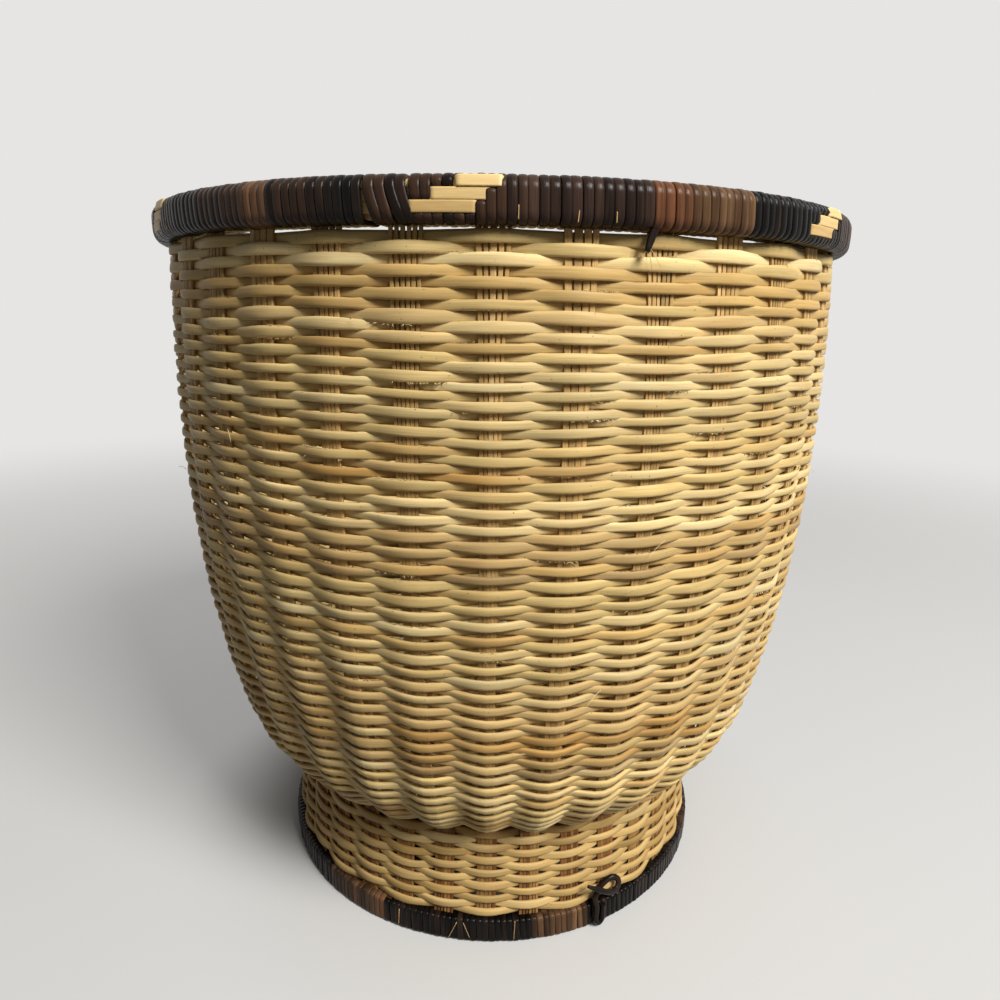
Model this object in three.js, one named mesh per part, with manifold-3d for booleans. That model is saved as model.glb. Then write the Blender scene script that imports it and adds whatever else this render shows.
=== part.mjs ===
// Pedestal wicker basket: a round woven bowl that stands on a flared woven foot.
// Millimetres, +Z up, origin at the middle of the foot's underside, the photographed side towards -Y.
//
// The bowl hangs on 35 flat bamboo splints, the stakes. They lie in the floor, turn up at its edge and run
// up the wall through the cane weave into the rim. Every ring has one flat side to each stake, so that a
// flat stake lies in a flat side, and each radius below is measured to the middle of a flat side.

import * as THREE from 'three';
import { mergeVertices } from 'three/addons/utils/BufferGeometryUtils.js';
import Module from 'manifold-3d';

// Gap between two pieces that touch, and the stakes that everything is counted by
const CLEARANCE = 0.3;
const STAKES = 35;
const FIRST_STAKE_ANGLE = -1; // degrees, from the near side towards +X
const STAKE_WIDTH = 9.5;
const STAKE_THICKNESS = 1.2;
const STAKE_SHARE_OF_FLOOR = 0.5; // of the room that a stake has where they crowd together in the floor

// The weave, from its inner to its outer face. The weavers bow out over each stake, so the wall has an
// upright rib there and a hollow halfway to the next, deepest where the wall leaves the turn.
const WEAVE_THICKNESS = 4.8;
const RIB_AT_TURN = 3.6; // from the hollow's bottom to the rib's top
const RIB_AT_RIM = 1.6;

// Middle surface of the bowl: flat floor, rounded turn, then the wall
const FLOOR_HEIGHT = 52.4;
const CENTRE_RADIUS = 20;
const FLOOR_RADIUS = 79.8;
const TURN_REACH = 32.5;
const TURN_TOP_RADIUS = 135.5;
const TURN_TOP_RISE = 42.6;
const TURN_TOP_SLOPE = 73.6; // degrees from level
const TURN_PULL = 19;
const WALL_PULL = 54.6;
const WALL_TOP_RADIUS = 152.9;
const WALL_TOP_RISE = 255.9;
const WALL_BELLY_SWELL = 6.2; // pull point of the belly, out beyond the wall's top
const WALL_BELLY_RISE = 165.4;

// Rim: two hoops hold the stakes' ends, light slips lie outside them, and dark cane binds it all
const RIM_HEIGHT = 15;
const RIM_HALF_WIDTH = 7.1;
const RIM_ROUNDING = 2.5;
const RIM_LIP_ROUNDING = 2;
const RIM_BINDING_THICKNESS = 1.3;
const RIM_SEAT_GAP = 1; // light shows here between the last row of weave and the binding
const RIM_BEVEL = 1.2; // of the room in the binding and of the inner hoop, under the rounded top
const SLIP_THICKNESS = 1.3;

// Ornament: the binding leaves stepped windows over the slips
const PATCH_ANGLES = [-4.5, 49, 98, 147, 196, 249, 302]; // degrees, by the middle slip
const PATCH_STEP = 5.6;
const PATCH_LENGTHS = { lower: 20, middle: 17.6, upper: 13.4 };
const WINDOW_OVERCUT = 2;

// Tail of the rim's cane where it comes out below the binding
const RIM_TAIL_ANGLE = 17.5;
const RIM_TAIL_LENGTH = 6;
const RIM_TAIL_WIDTH = 2.8;
const RIM_TAIL_TIP_WIDTH = 1.4;
const RIM_TAIL_THICKNESS = 1.2;

// Foot: middle surface at the ground, its flare up to the bowl, and the dark binding round its lower edge
const FOOT_GROUND_RADIUS = 110.9;
const FOOT_FLARE = 3.3; // by which the foot is wider at the ground than where it meets the bowl
const FOOT_BINDING_HEIGHT = 12.5;
const FOOT_BINDING_HALF_WIDTH = 4.2;
const FOOT_BINDING_THICKNESS = 1.2;
const FOOT_BINDING_ROUNDING = 1.8;
const FOOT_STAKE_WIDTH = 9;
const FOOT_STRIP_HEIGHT = 2; // of the strip between the hoops from which the foot's stakes rise

// Hoop and cane lashing inside the foot, where the foot is fixed to the bowl
const JOINT_HOOP_SIZE = 4;
const LASHING_THICKNESS = 0.9;

// Knot where the foot's cane starts and ends: two raised turns, a curl and a tail
const KNOT_ANGLE = 26.5;
const KNOT_CANE = 2.6;
const KNOT_TURN_GAP = 0.8;
const KNOT_CURL = [
  // Points of the curl and the tail: along the binding, out from the turns and up from the binding's top
  [-2.2, -1.2, 3.6],
  [1, -2.4, 7.6],
  [5.6, -2.4, 10.6],
  [9, -2, 10.9],
  [11, -1.2, 8.4],
  [9.4, -0.3, 5.8],
  [6, 0.8, 5.9],
  [2.2, 1.4, 7.8],
  [-3, 1.4, 11.2],
  [-8, 1, 14.4],
];
const KNOT_SIDES = 6;
const KNOT_STEPS = 40;
const KNOT_SAMPLES = 200;

const WEAVE_CANE = { color: 0xcaa869, roughness: 0.6 };
const STAKE_BAMBOO = { color: 0xa27b45, roughness: 0.7 };
const HOOP_CANE = { color: 0x9a7440, roughness: 0.6 };
const BINDING_CANE = { color: 0x33211b, roughness: 0.4 };
const SLIP_CANE = { color: 0xd9bd83, roughness: 0.5 };

const MERGE_DISTANCE = 1e-4; // within which two vertices of a mesh are one

const SIDE = (2 * Math.PI) / STAKES;
const CORNER = Math.cos(SIDE / 2); // a flat side's distance from the axis, over its corners' distance
const radians = (degrees) => (degrees * Math.PI) / 180;
const stakeAngle = (index) => radians(FIRST_STAKE_ANGLE) + index * SIDE;
const sides = Array.from({ length: STAKES }, (_, index) => index);

const object = new THREE.Group();

function add(name, geometry, look) {
  const material = new THREE.MeshStandardMaterial({ ...look, metalness: 0, flatShading: true });
  const mesh = new THREE.Mesh(geometry, material);
  mesh.name = name;
  object.add(mesh);
}

// Place of a point that is `out` from the axis and `along` the flat side that faces `angle`.
function place(angle, out, along, height) {
  const x = out * Math.sin(angle) + along * Math.cos(angle);
  const y = -out * Math.cos(angle) + along * Math.sin(angle);
  return new THREE.Vector3(x, y, height);
}

function closedSolid(points, triangles) {
  const geometry = new THREE.BufferGeometry().setFromPoints(points);
  geometry.setIndex(triangles);
  geometry.computeVertexNormals();
  return geometry;
}

// Adds a face to a list of triangles, as a fan from its first corner.
function addFan(triangles, [first, ...rest]) {
  for (let c = 0; c < rest.length - 1; c += 1) triangles.push(first, rest[c], rest[c + 1]);
}

// A solid swept through sections that all have the same number of corners, closed by its two ends.
function sweep(sections) {
  const corners = sections[0].length;
  const points = sections.flat();
  const triangles = [];
  for (let i = 0; i < sections.length - 1; i += 1) {
    for (let c = 0; c < corners; c += 1) {
      const here = i * corners + c;
      const next = i * corners + ((c + 1) % corners);
      triangles.push(here, next, next + corners, here, next + corners, here + corners);
    }
  }
  const last = (sections.length - 1) * corners;
  for (let c = 1; c < corners - 1; c += 1) {
    triangles.push(0, c + 1, c, last, last + c, last + c + 1);
  }
  return closedSolid(points, triangles);
}

// A ring with one flat side per stake, from a closed outline of [radius, height] points.
function ring(outline) {
  const corners = outline.map(([radius, height]) => new THREE.Vector2(radius / CORNER, height));
  if (THREE.ShapeUtils.isClockWise(corners)) corners.reverse();
  const geometry = new THREE.LatheGeometry([...corners, corners[0]], STAKES, stakeAngle(0) + SIDE / 2);
  return geometry.rotateX(Math.PI / 2);
}

const library = await Module();
library.setup();

function toSolid(geometry) {
  const bare = geometry.clone();
  bare.deleteAttribute('normal');
  bare.deleteAttribute('uv');
  const merged = mergeVertices(bare, MERGE_DISTANCE);
  const vertProperties = new Float32Array(merged.attributes.position.array);
  const triVerts = new Uint32Array(merged.index.array);
  return new library.Manifold(new library.Mesh({ numProp: 3, vertProperties, triVerts }));
}

function toGeometry(solid) {
  const mesh = solid.getMesh();
  const geometry = new THREE.BufferGeometry();
  geometry.setAttribute('position', new THREE.BufferAttribute(new Float32Array(mesh.vertProperties), 3));
  geometry.setIndex(Array.from(mesh.triVerts));
  geometry.computeVertexNormals();
  return geometry;
}

// Middle surface of the bowl as one chain of [radius, height] points. Each stretch is one course of weave.
const turnTop = new THREE.Vector2(TURN_TOP_RADIUS, FLOOR_HEIGHT + TURN_TOP_RISE);
const slope = new THREE.Vector2(Math.cos(radians(TURN_TOP_SLOPE)), Math.sin(radians(TURN_TOP_SLOPE)));
const turn = new THREE.CubicBezierCurve(
  new THREE.Vector2(FLOOR_RADIUS, FLOOR_HEIGHT),
  new THREE.Vector2(FLOOR_RADIUS + TURN_REACH, FLOOR_HEIGHT),
  turnTop.clone().addScaledVector(slope, -TURN_PULL),
  turnTop,
);
const wall = new THREE.CubicBezierCurve(
  turnTop,
  turnTop.clone().addScaledVector(slope, WALL_PULL),
  new THREE.Vector2(WALL_TOP_RADIUS + WALL_BELLY_SWELL, FLOOR_HEIGHT + WALL_BELLY_RISE),
  new THREE.Vector2(WALL_TOP_RADIUS, FLOOR_HEIGHT + WALL_TOP_RISE),
);
const courses = [
  { name: 'floor_weave', ends: [new THREE.Vector2(CENTRE_RADIUS, FLOOR_HEIGHT), turn.getPoint(0)] },
  { name: 'floor_edge_weave', ends: [0, 0.25, 0.5].map((share) => turn.getPoint(share)) },
  { name: 'turn_weave', ribbed: true, ends: [0.5, 0.75, 1].map((share) => turn.getPoint(share)) },
  { name: 'lower_wall_weave', ribbed: true, ends: [0, 0.16, 0.34].map((share) => wall.getPoint(share)) },
  { name: 'middle_wall_weave', ribbed: true, ends: [0.34, 0.66].map((share) => wall.getPoint(share)) },
  { name: 'upper_wall_weave', ribbed: true, ends: [0.66, 0.84, 1].map((share) => wall.getPoint(share)) },
];
const chain = [courses[0].ends[0], ...courses.flatMap((course) => course.ends.slice(1))];

// The outward direction at each point of the chain, scaled so that an offset keeps its distance to both
// stretches that meet there.
const outward = chain.map((point, index) => {
  const before = chain[Math.max(index - 1, 0)];
  const after = chain[Math.min(index + 1, chain.length - 1)];
  const incoming = (index > 0 ? point.clone().sub(before) : after.clone().sub(point)).normalize();
  const leaving = (index < chain.length - 1 ? after.clone().sub(point) : incoming.clone()).normalize();
  const along = incoming.clone().add(leaving).normalize();
  return new THREE.Vector2(along.y, -along.x).divideScalar(along.dot(leaving));
});

// A stake narrows towards the middle of the floor, where the stakes crowd together.
const stakeWidth = (radius) => Math.min(STAKE_WIDTH, STAKE_SHARE_OF_FLOOR * radius * SIDE);

// Level of the chain at one of its points, or a share of the way to the next.
function level(index, share = 0) {
  const next = Math.min(index + 1, chain.length - 1);
  const middle = chain[index].clone().lerp(chain[next], share);
  const normal = outward[index].clone().lerp(outward[next], share);
  const width = THREE.MathUtils.lerp(stakeWidth(chain[index].x), stakeWidth(chain[next].x), share);
  return { middle, normal, width };
}

const offset = ({ middle, normal }, distance) => middle.clone().addScaledVector(normal, distance);

// Levels of one course, which stops half a clearance short of each of its neighbours.
function courseLevels(first, last) {
  const shorten = (index) => CLEARANCE / 2 / chain[index].distanceTo(chain[index + 1]);
  const inner = Array.from({ length: last - first - 1 }, (_, index) => level(first + 1 + index));
  return [level(first, shorten(first)), ...inner, level(last - 1, 1 - shorten(last - 1))];
}

// Height of the wall's ribs at a level. They fade up the wall.
function ribAt({ middle }) {
  const rise = THREE.MathUtils.clamp((middle.y - turnTop.y) / (WALL_TOP_RISE - TURN_TOP_RISE), 0, 1);
  return THREE.MathUtils.lerp(RIB_AT_TURN, RIB_AT_RIM, rise);
}

// A woven ring with a tunnel in each flat side, through which the stake there passes. A ribbed ring has a
// ridge along the middle of each flat side, and a hollow between two sides that follows the round wall.
const tunnelThickness = STAKE_THICKNESS + 2 * CLEARANCE;
function wovenRing(levels, ribbed = false) {
  const points = [];
  const triangles = [];
  const face = (corners) => addFan(triangles, corners);
  const turnedOver = ([first, ...rest]) => [first, ...rest.reverse()];
  const rows = levels.map((here) => {
    const ridgeOut = (WEAVE_THICKNESS + ribAt(here) - RIB_AT_RIM) / 2;
    const hollowOut = ridgeOut - ribAt(here) - here.normal.x * here.middle.x * (1 / CORNER - 1);
    const outer = offset(here, ribbed ? hollowOut : WEAVE_THICKNESS / 2);
    const ridge = offset(here, ridgeOut);
    const inner = offset(here, -WEAVE_THICKNESS / 2);
    const tunnelOuter = offset(here, tunnelThickness / 2);
    const tunnelInner = offset(here, -tunnelThickness / 2);
    const half = here.width / 2 + CLEARANCE;
    return sides.map((side) => {
      const angle = stakeAngle(side);
      const first = points.length;
      points.push(
        place(angle + SIDE / 2, outer.x / CORNER, 0, outer.y),
        place(angle + SIDE / 2, inner.x / CORNER, 0, inner.y),
        place(angle, tunnelOuter.x, -half, tunnelOuter.y),
        place(angle, tunnelOuter.x, half, tunnelOuter.y),
        place(angle, tunnelInner.x, half, tunnelInner.y),
        place(angle, tunnelInner.x, -half, tunnelInner.y),
      );
      if (ribbed) points.push(place(angle, ridge.x, 0, ridge.y));
      return first;
    });
  });
  const cornersOf = (row, side) => {
    const right = rows[row][side];
    const left = rows[row][(side + STAKES - 1) % STAKES];
    return {
      outer: ribbed ? [left, right + 6, right] : [left, right],
      inner: [left + 1, right + 1],
      tunnel: [2, 3, 4, 5].map((c) => right + c),
    };
  };
  for (const side of sides) {
    for (let row = 0; row < rows.length - 1; row += 1) {
      const low = cornersOf(row, side);
      const high = cornersOf(row + 1, side);
      for (let c = 1; c < low.outer.length; c += 1) {
        face([low.outer[c - 1], low.outer[c], high.outer[c], high.outer[c - 1]]);
      }
      face([low.inner[1], low.inner[0], high.inner[0], high.inner[1]]);
      for (let c = 0; c < 4; c += 1) {
        const next = (c + 1) % 4;
        face([low.tunnel[next], low.tunnel[c], high.tunnel[c], high.tunnel[next]]);
      }
    }
    for (const row of [0, rows.length - 1]) {
      const { outer, inner, tunnel } = cornersOf(row, side);
      const [left, right] = [outer[0], outer.at(-1)];
      const endFaces = [
        [...outer.slice(1), tunnel[1], tunnel[0], left],
        [right, inner[1], tunnel[2], tunnel[1]],
        [inner[1], inner[0], tunnel[3], tunnel[2]],
        [inner[0], left, tunnel[0], tunnel[3]],
      ];
      for (const corners of endFaces) face(row === 0 ? turnedOver(corners) : corners);
    }
  }
  return closedSolid(points, triangles);
}

// Section of a flat splint at a level, in the flat side that faces `angle`.
function splintSection(angle, here) {
  const outer = offset(here, STAKE_THICKNESS / 2);
  const inner = offset(here, -STAKE_THICKNESS / 2);
  return [
    place(angle, outer.x, -here.width / 2, outer.y),
    place(angle, outer.x, here.width / 2, outer.y),
    place(angle, inner.x, here.width / 2, inner.y),
    place(angle, inner.x, -here.width / 2, inner.y),
  ];
}

// Weave of the bowl, course by course
let firstPoint = 0;
for (const { name, ends, ribbed } of courses) {
  const lastPoint = firstPoint + ends.length - 1;
  const levels = courseLevels(firstPoint, lastPoint);
  add(name, wovenRing(levels, ribbed), WEAVE_CANE);
  firstPoint = lastPoint;
}

// Round start of the weave in the middle of the floor, which closes it
const centreEdge = CENTRE_RADIUS - CLEARANCE / 2;
const centreCorner = centreEdge / CORNER;
const centreDisc = new THREE.CylinderGeometry(centreCorner, centreCorner, WEAVE_THICKNESS, STAKES);
centreDisc.rotateX(Math.PI / 2).rotateZ(stakeAngle(0) + SIDE / 2 - Math.PI / 2);
add('floor_centre', centreDisc.translate(0, 0, FLOOR_HEIGHT), WEAVE_CANE);

// Rim heights follow the wall's top
const wallTop = FLOOR_HEIGHT + WALL_TOP_RISE;
const rimBottom = wallTop + RIM_SEAT_GAP;
const rimTop = rimBottom + RIM_HEIGHT;
const stakeHalf = STAKE_THICKNESS / 2;

// Stakes: from the floor's middle through every course, and on between the rim's hoops
const stakeTop = rimTop - RIM_BINDING_THICKNESS - CLEARANCE - RIM_BEVEL;
const upright = new THREE.Vector2(1, 0);
const stakeLevels = [
  level(0, (2 * CLEARANCE) / chain[0].distanceTo(chain[1])),
  ...chain.slice(1, -1).map((_, index) => level(index + 1)),
  { middle: chain.at(-1), normal: upright, width: STAKE_WIDTH },
  { middle: new THREE.Vector2(WALL_TOP_RADIUS, stakeTop), normal: upright, width: STAKE_WIDTH },
];
for (const side of sides) {
  const name = `wall_stake_${String(side + 1).padStart(2, '0')}`;
  add(name, sweep(stakeLevels.map((here) => splintSection(stakeAngle(side), here))), STAKE_BAMBOO);
}

// Outline of a bound edge: a roll with room inside, and a slit on its open side for the stakes.
function boundEdge({ middle, closedEnd, openEnd, halfWidth, skin, rounding, lipRounding, innerBevel }) {
  const up = Math.sign(closedEnd - openEnd);
  const slit = stakeHalf + CLEARANCE;
  const room = halfWidth - skin;
  const outerHalf = [
    [slit, openEnd],
    [halfWidth - lipRounding, openEnd],
    [halfWidth, openEnd + up * lipRounding],
    [halfWidth, closedEnd - up * rounding],
    [halfWidth - rounding, closedEnd],
  ];
  const corner = [room, closedEnd - up * skin];
  const bevelled = [
    [room - innerBevel, closedEnd - up * skin],
    [room, closedEnd - up * (skin + innerBevel)],
  ];
  const innerHalf = [
    ...(innerBevel > 0 ? bevelled : [corner]),
    [room, openEnd + up * skin],
    [slit, openEnd + up * skin],
  ];
  const mirrored = (half) => half.map(([out, height]) => [-out, height]).reverse();
  const outline = [...outerHalf, ...mirrored(outerHalf), ...mirrored(innerHalf), ...innerHalf];
  return outline.map(([out, height]) => [middle + out, height]);
}

const bar = (near, far, low, high) => [
  [near, low],
  [far, low],
  [far, high],
  [near, high],
];

// Rim: an inner and an outer hoop with the stakes' ends between them
const rimRoom = RIM_HALF_WIDTH - RIM_BINDING_THICKNESS - CLEARANCE;
const hoopFace = stakeHalf + CLEARANCE;
const hoopLow = rimBottom + RIM_BINDING_THICKNESS + CLEARANCE;
const hoopHigh = rimTop - RIM_BINDING_THICKNESS - CLEARANCE;
const innerHoop = [
  [WALL_TOP_RADIUS - hoopFace, hoopLow],
  [WALL_TOP_RADIUS - hoopFace, hoopHigh],
  [WALL_TOP_RADIUS - rimRoom + RIM_BEVEL, hoopHigh],
  [WALL_TOP_RADIUS - rimRoom, hoopHigh - RIM_BEVEL],
  [WALL_TOP_RADIUS - rimRoom, hoopLow],
];
add('rim_inner_hoop', ring(innerHoop), HOOP_CANE);
const slipFace = WALL_TOP_RADIUS + rimRoom - SLIP_THICKNESS;
const outerHoop = bar(WALL_TOP_RADIUS + hoopFace, slipFace - CLEARANCE, hoopLow, hoopHigh);
add('rim_outer_hoop', ring(outerHoop), HOOP_CANE);

// Light slips round the outer hoop, one above the other, and the windows that show them
const slipLow = rimBottom + RIM_BINDING_THICKNESS + RIM_BEVEL;
const slipHeight = (RIM_HEIGHT - 2 * (RIM_BINDING_THICKNESS + RIM_BEVEL) - 2 * CLEARANCE) / 3;
const slips = ['lower', 'middle', 'upper'].map((name, index) => {
  const low = slipLow + index * (slipHeight + CLEARANCE);
  return { name, low, shift: (index - 1) * PATCH_STEP, length: PATCH_LENGTHS[name] };
});
for (const { name, low } of slips) {
  const outline = bar(slipFace, slipFace + SLIP_THICKNESS, low, low + slipHeight);
  add(`pattern_slip_${name}`, ring(outline), SLIP_CANE);
}
const windowNear = WALL_TOP_RADIUS + rimRoom - CLEARANCE;
const windowDepth = RIM_BINDING_THICKNESS + 2 * CLEARANCE + WINDOW_OVERCUT;
const windows = PATCH_ANGLES.flatMap((degrees) =>
  slips.map(({ low, shift, length }) => {
    const cutter = new THREE.BoxGeometry(length, windowDepth, slipHeight + 2 * CLEARANCE);
    cutter.translate(shift, -windowNear - windowDepth / 2, low + slipHeight / 2);
    return toSolid(cutter.rotateZ(radians(degrees)));
  }),
);
const rimRoll = boundEdge({
  middle: WALL_TOP_RADIUS,
  closedEnd: rimTop,
  openEnd: rimBottom,
  halfWidth: RIM_HALF_WIDTH,
  skin: RIM_BINDING_THICKNESS,
  rounding: RIM_ROUNDING,
  lipRounding: RIM_LIP_ROUNDING,
  innerBevel: RIM_BEVEL,
});
const rimBinding = windows.reduce((solid, cutter) => solid.subtract(cutter), toSolid(ring(rimRoll)));
add('rim_binding', toGeometry(rimBinding), BINDING_CANE);

// End of the rim's cane, tucked out below the binding and lying on the wall
const wallFaceAt = (height) => {
  const low = offset(level(chain.length - 2), WEAVE_THICKNESS / 2);
  const high = offset(level(chain.length - 1), WEAVE_THICKNESS / 2);
  return THREE.MathUtils.mapLinear(height, low.y, high.y, low.x, high.x) / CORNER + CLEARANCE;
};
const tailSection = (height, halfWidth) => {
  const near = wallFaceAt(height);
  const far = near + RIM_TAIL_THICKNESS;
  const corners = [
    [far, -halfWidth],
    [far, halfWidth],
    [near, halfWidth],
    [near, -halfWidth],
  ];
  return corners.map(([out, along]) => place(radians(RIM_TAIL_ANGLE), out, along, height));
};
const tailTop = rimBottom - CLEARANCE;
const rimTail = [
  tailSection(tailTop - RIM_TAIL_LENGTH, RIM_TAIL_TIP_WIDTH / 2),
  tailSection(tailTop, RIM_TAIL_WIDTH / 2),
];
add('rim_binding_end', sweep(rimTail), BINDING_CANE);

// Foot: a bound roll on the ground with two hoops in it, stakes between them, and a woven flare above
const footRoom = FOOT_BINDING_HALF_WIDTH - FOOT_BINDING_THICKNESS - CLEARANCE;
const footHoopLow = FOOT_BINDING_THICKNESS + CLEARANCE;
const footHoopHigh = FOOT_BINDING_HEIGHT - FOOT_BINDING_THICKNESS - CLEARANCE;
for (const [name, direction] of [['foot_inner_hoop', -1], ['foot_outer_hoop', 1]]) {
  const faces = [hoopFace, footRoom].map((out) => FOOT_GROUND_RADIUS + direction * out);
  const [near, far] = faces.sort((a, b) => a - b);
  add(name, ring(bar(near, far, footHoopLow, footHoopHigh)), HOOP_CANE);
}
const footRoll = boundEdge({
  middle: FOOT_GROUND_RADIUS,
  closedEnd: 0,
  openEnd: FOOT_BINDING_HEIGHT,
  halfWidth: FOOT_BINDING_HALF_WIDTH,
  skin: FOOT_BINDING_THICKNESS,
  rounding: FOOT_BINDING_ROUNDING,
  lipRounding: FOOT_BINDING_ROUNDING,
  innerBevel: 0,
});
add('foot_binding', ring(footRoll), BINDING_CANE);

// Height of the bowl's underside over a circle of the given radius
function undersideAt(radius) {
  const under = chain.map((_, index) => offset(level(index), WEAVE_THICKNESS / 2));
  const next = under.findIndex((point) => point.x > radius);
  const [before, after] = [under[next - 1], under[next]];
  return THREE.MathUtils.mapLinear(radius, before.x, after.x, before.y, after.y);
}
const footJointRadius = FOOT_GROUND_RADIUS - FOOT_FLARE;
const footTop = undersideAt(footJointRadius - WEAVE_THICKNESS / 2) - CLEARANCE;
const footLevel = (radius, height) => {
  const middle = new THREE.Vector2(radius, height);
  return { middle, normal: upright, width: FOOT_STAKE_WIDTH };
};
const footWeaveLevels = [
  footLevel(FOOT_GROUND_RADIUS, FOOT_BINDING_HEIGHT + CLEARANCE),
  footLevel(footJointRadius, footTop),
];
add('foot_weave', wovenRing(footWeaveLevels), WEAVE_CANE);

// The foot's stakes as one comb: a low strip all the way round, and a stake up from each of its flat sides
function comb(stripLow, stripHigh, levels) {
  const points = [];
  const triangles = [];
  const face = (corners) => addFan(triangles, corners);
  const perSide = 4 + 4 * levels.length;
  for (const side of sides) {
    const angle = stakeAngle(side);
    for (const height of [stripLow, stripHigh]) {
      for (const out of [stakeHalf, -stakeHalf]) {
        points.push(place(angle + SIDE / 2, (levels[0].middle.x + out) / CORNER, 0, height));
      }
    }
    points.push(...levels.flatMap((here) => splintSection(angle, here)));
  }
  for (const side of sides) {
    const [right, left] = [side, (side + STAKES - 1) % STAKES].map((index) => index * perSide);
    const foot = right + 4;
    face([left, right, right + 2, foot + 1, foot, left + 2]);
    face([right + 1, left + 1, left + 3, foot + 3, foot + 2, right + 3]);
    face([right, left, left + 1, right + 1]);
    face([left + 2, foot, foot + 3, left + 3]);
    face([foot + 1, right + 2, right + 3, foot + 2]);
    for (let row = 0; row < levels.length - 1; row += 1) {
      for (let c = 0; c < 4; c += 1) {
        const [here, next] = [c, (c + 1) % 4].map((corner) => foot + 4 * row + corner);
        face([here, next, next + 4, here + 4]);
      }
    }
    const top = foot + 4 * (levels.length - 1);
    face([top, top + 1, top + 2, top + 3]);
  }
  return closedSolid(points, triangles);
}
const footStripTop = footHoopLow + FOOT_STRIP_HEIGHT;
const footStakeLevels = [footLevel(FOOT_GROUND_RADIUS, footStripTop), ...footWeaveLevels];
add('foot_stakes', comb(footHoopLow, footStripTop, footStakeLevels), STAKE_BAMBOO);

// Joint of foot and bowl: a hoop in the corner between them, and the cane that lashes it there. Its place
// is that of the foot's narrowest spot beside it, which is the joint's top or bottom.
const footMiddleAt = (height) => {
  const [low, high] = footWeaveLevels.map(({ middle }) => middle);
  return THREE.MathUtils.mapLinear(height, low.y, high.y, low.x, high.x);
};
const jointDepth = JOINT_HOOP_SIZE + LASHING_THICKNESS + 2 * CLEARANCE;
const jointBottom = FLOOR_HEIGHT - WEAVE_THICKNESS / 2 - jointDepth;
const jointFar =
  Math.min(footMiddleAt(footTop), footMiddleAt(jointBottom)) - WEAVE_THICKNESS / 2 - CLEARANCE;
const jointNear = jointFar - JOINT_HOOP_SIZE;
const jointHigh = undersideAt(jointNear) - CLEARANCE;
const jointLow = jointHigh - JOINT_HOOP_SIZE;
add('joint_hoop', ring(bar(jointNear, jointFar, jointLow, jointHigh)), HOOP_CANE);
const lashingInside = [jointNear - CLEARANCE, jointLow - CLEARANCE];
const lashingOutside = lashingInside.map((face) => face - LASHING_THICKNESS);
const lashingTop = undersideAt(lashingOutside[0]) - CLEARANCE;
const lashing = [
  lashingOutside,
  [jointFar, lashingOutside[1]],
  [jointFar, lashingInside[1]],
  lashingInside,
  [lashingInside[0], lashingTop],
  [lashingOutside[0], lashingTop],
];
add('joint_lashing', ring(lashing), WEAVE_CANE);

// Knot on the foot: the cane runs down and up the binding, curls over and ends in a loose tail.
// Each point is [along the binding, out from its face, height].
const knotTurn = (KNOT_CANE + KNOT_TURN_GAP) / 2;
const knotRoute = [
  [knotTurn, 0, FOOT_BINDING_HEIGHT],
  [knotTurn, 0, FOOT_BINDING_HEIGHT / 2],
  [knotTurn, 0, KNOT_CANE + knotTurn],
  [0, 0, KNOT_CANE],
  [-knotTurn, 0, KNOT_CANE + knotTurn],
  [-knotTurn, 0, FOOT_BINDING_HEIGHT / 2],
  [-knotTurn, 0, FOOT_BINDING_HEIGHT],
  ...KNOT_CURL.map(([along, out, up]) => [along, out, FOOT_BINDING_HEIGHT + up]),
];
const knotFace = (FOOT_GROUND_RADIUS + FOOT_BINDING_HALF_WIDTH) / CORNER + CLEARANCE + KNOT_CANE / 2;
const knotPath = new THREE.CatmullRomCurve3(
  knotRoute.map(([along, out, height]) => place(radians(KNOT_ANGLE), knotFace + out, along, height)),
);
const knotSection = new THREE.Shape(
  Array.from({ length: KNOT_SIDES }, (_, index) => {
    const angle = (index / KNOT_SIDES) * 2 * Math.PI;
    return new THREE.Vector2(Math.cos(angle), Math.sin(angle)).multiplyScalar(KNOT_CANE / 2);
  }),
);
const knot = new THREE.ExtrudeGeometry(knotSection, { steps: KNOT_STEPS, extrudePath: knotPath });
add('foot_knot', knot, BINDING_CANE);

// Least gap between two stretches of the knot, measured on points of its middle line that lie more than
// three thicknesses of cane apart along it.
const knotPoints = knotPath.getSpacedPoints(KNOT_SAMPLES);
const knotSpacing = knotPath.getLength() / KNOT_SAMPLES;
const knotGaps = knotPoints.flatMap((point, index) =>
  knotPoints
    .slice(index + Math.ceil((3 * KNOT_CANE) / knotSpacing))
    .map((other) => point.distanceTo(other) - KNOT_CANE),
);
console.log(`foot_knot: least gap to itself ${Math.min(...knotGaps).toFixed(2)} mm`);

export default object;
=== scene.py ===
import math

import bpy
import numpy as np
from mathutils import Matrix, Vector


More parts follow.
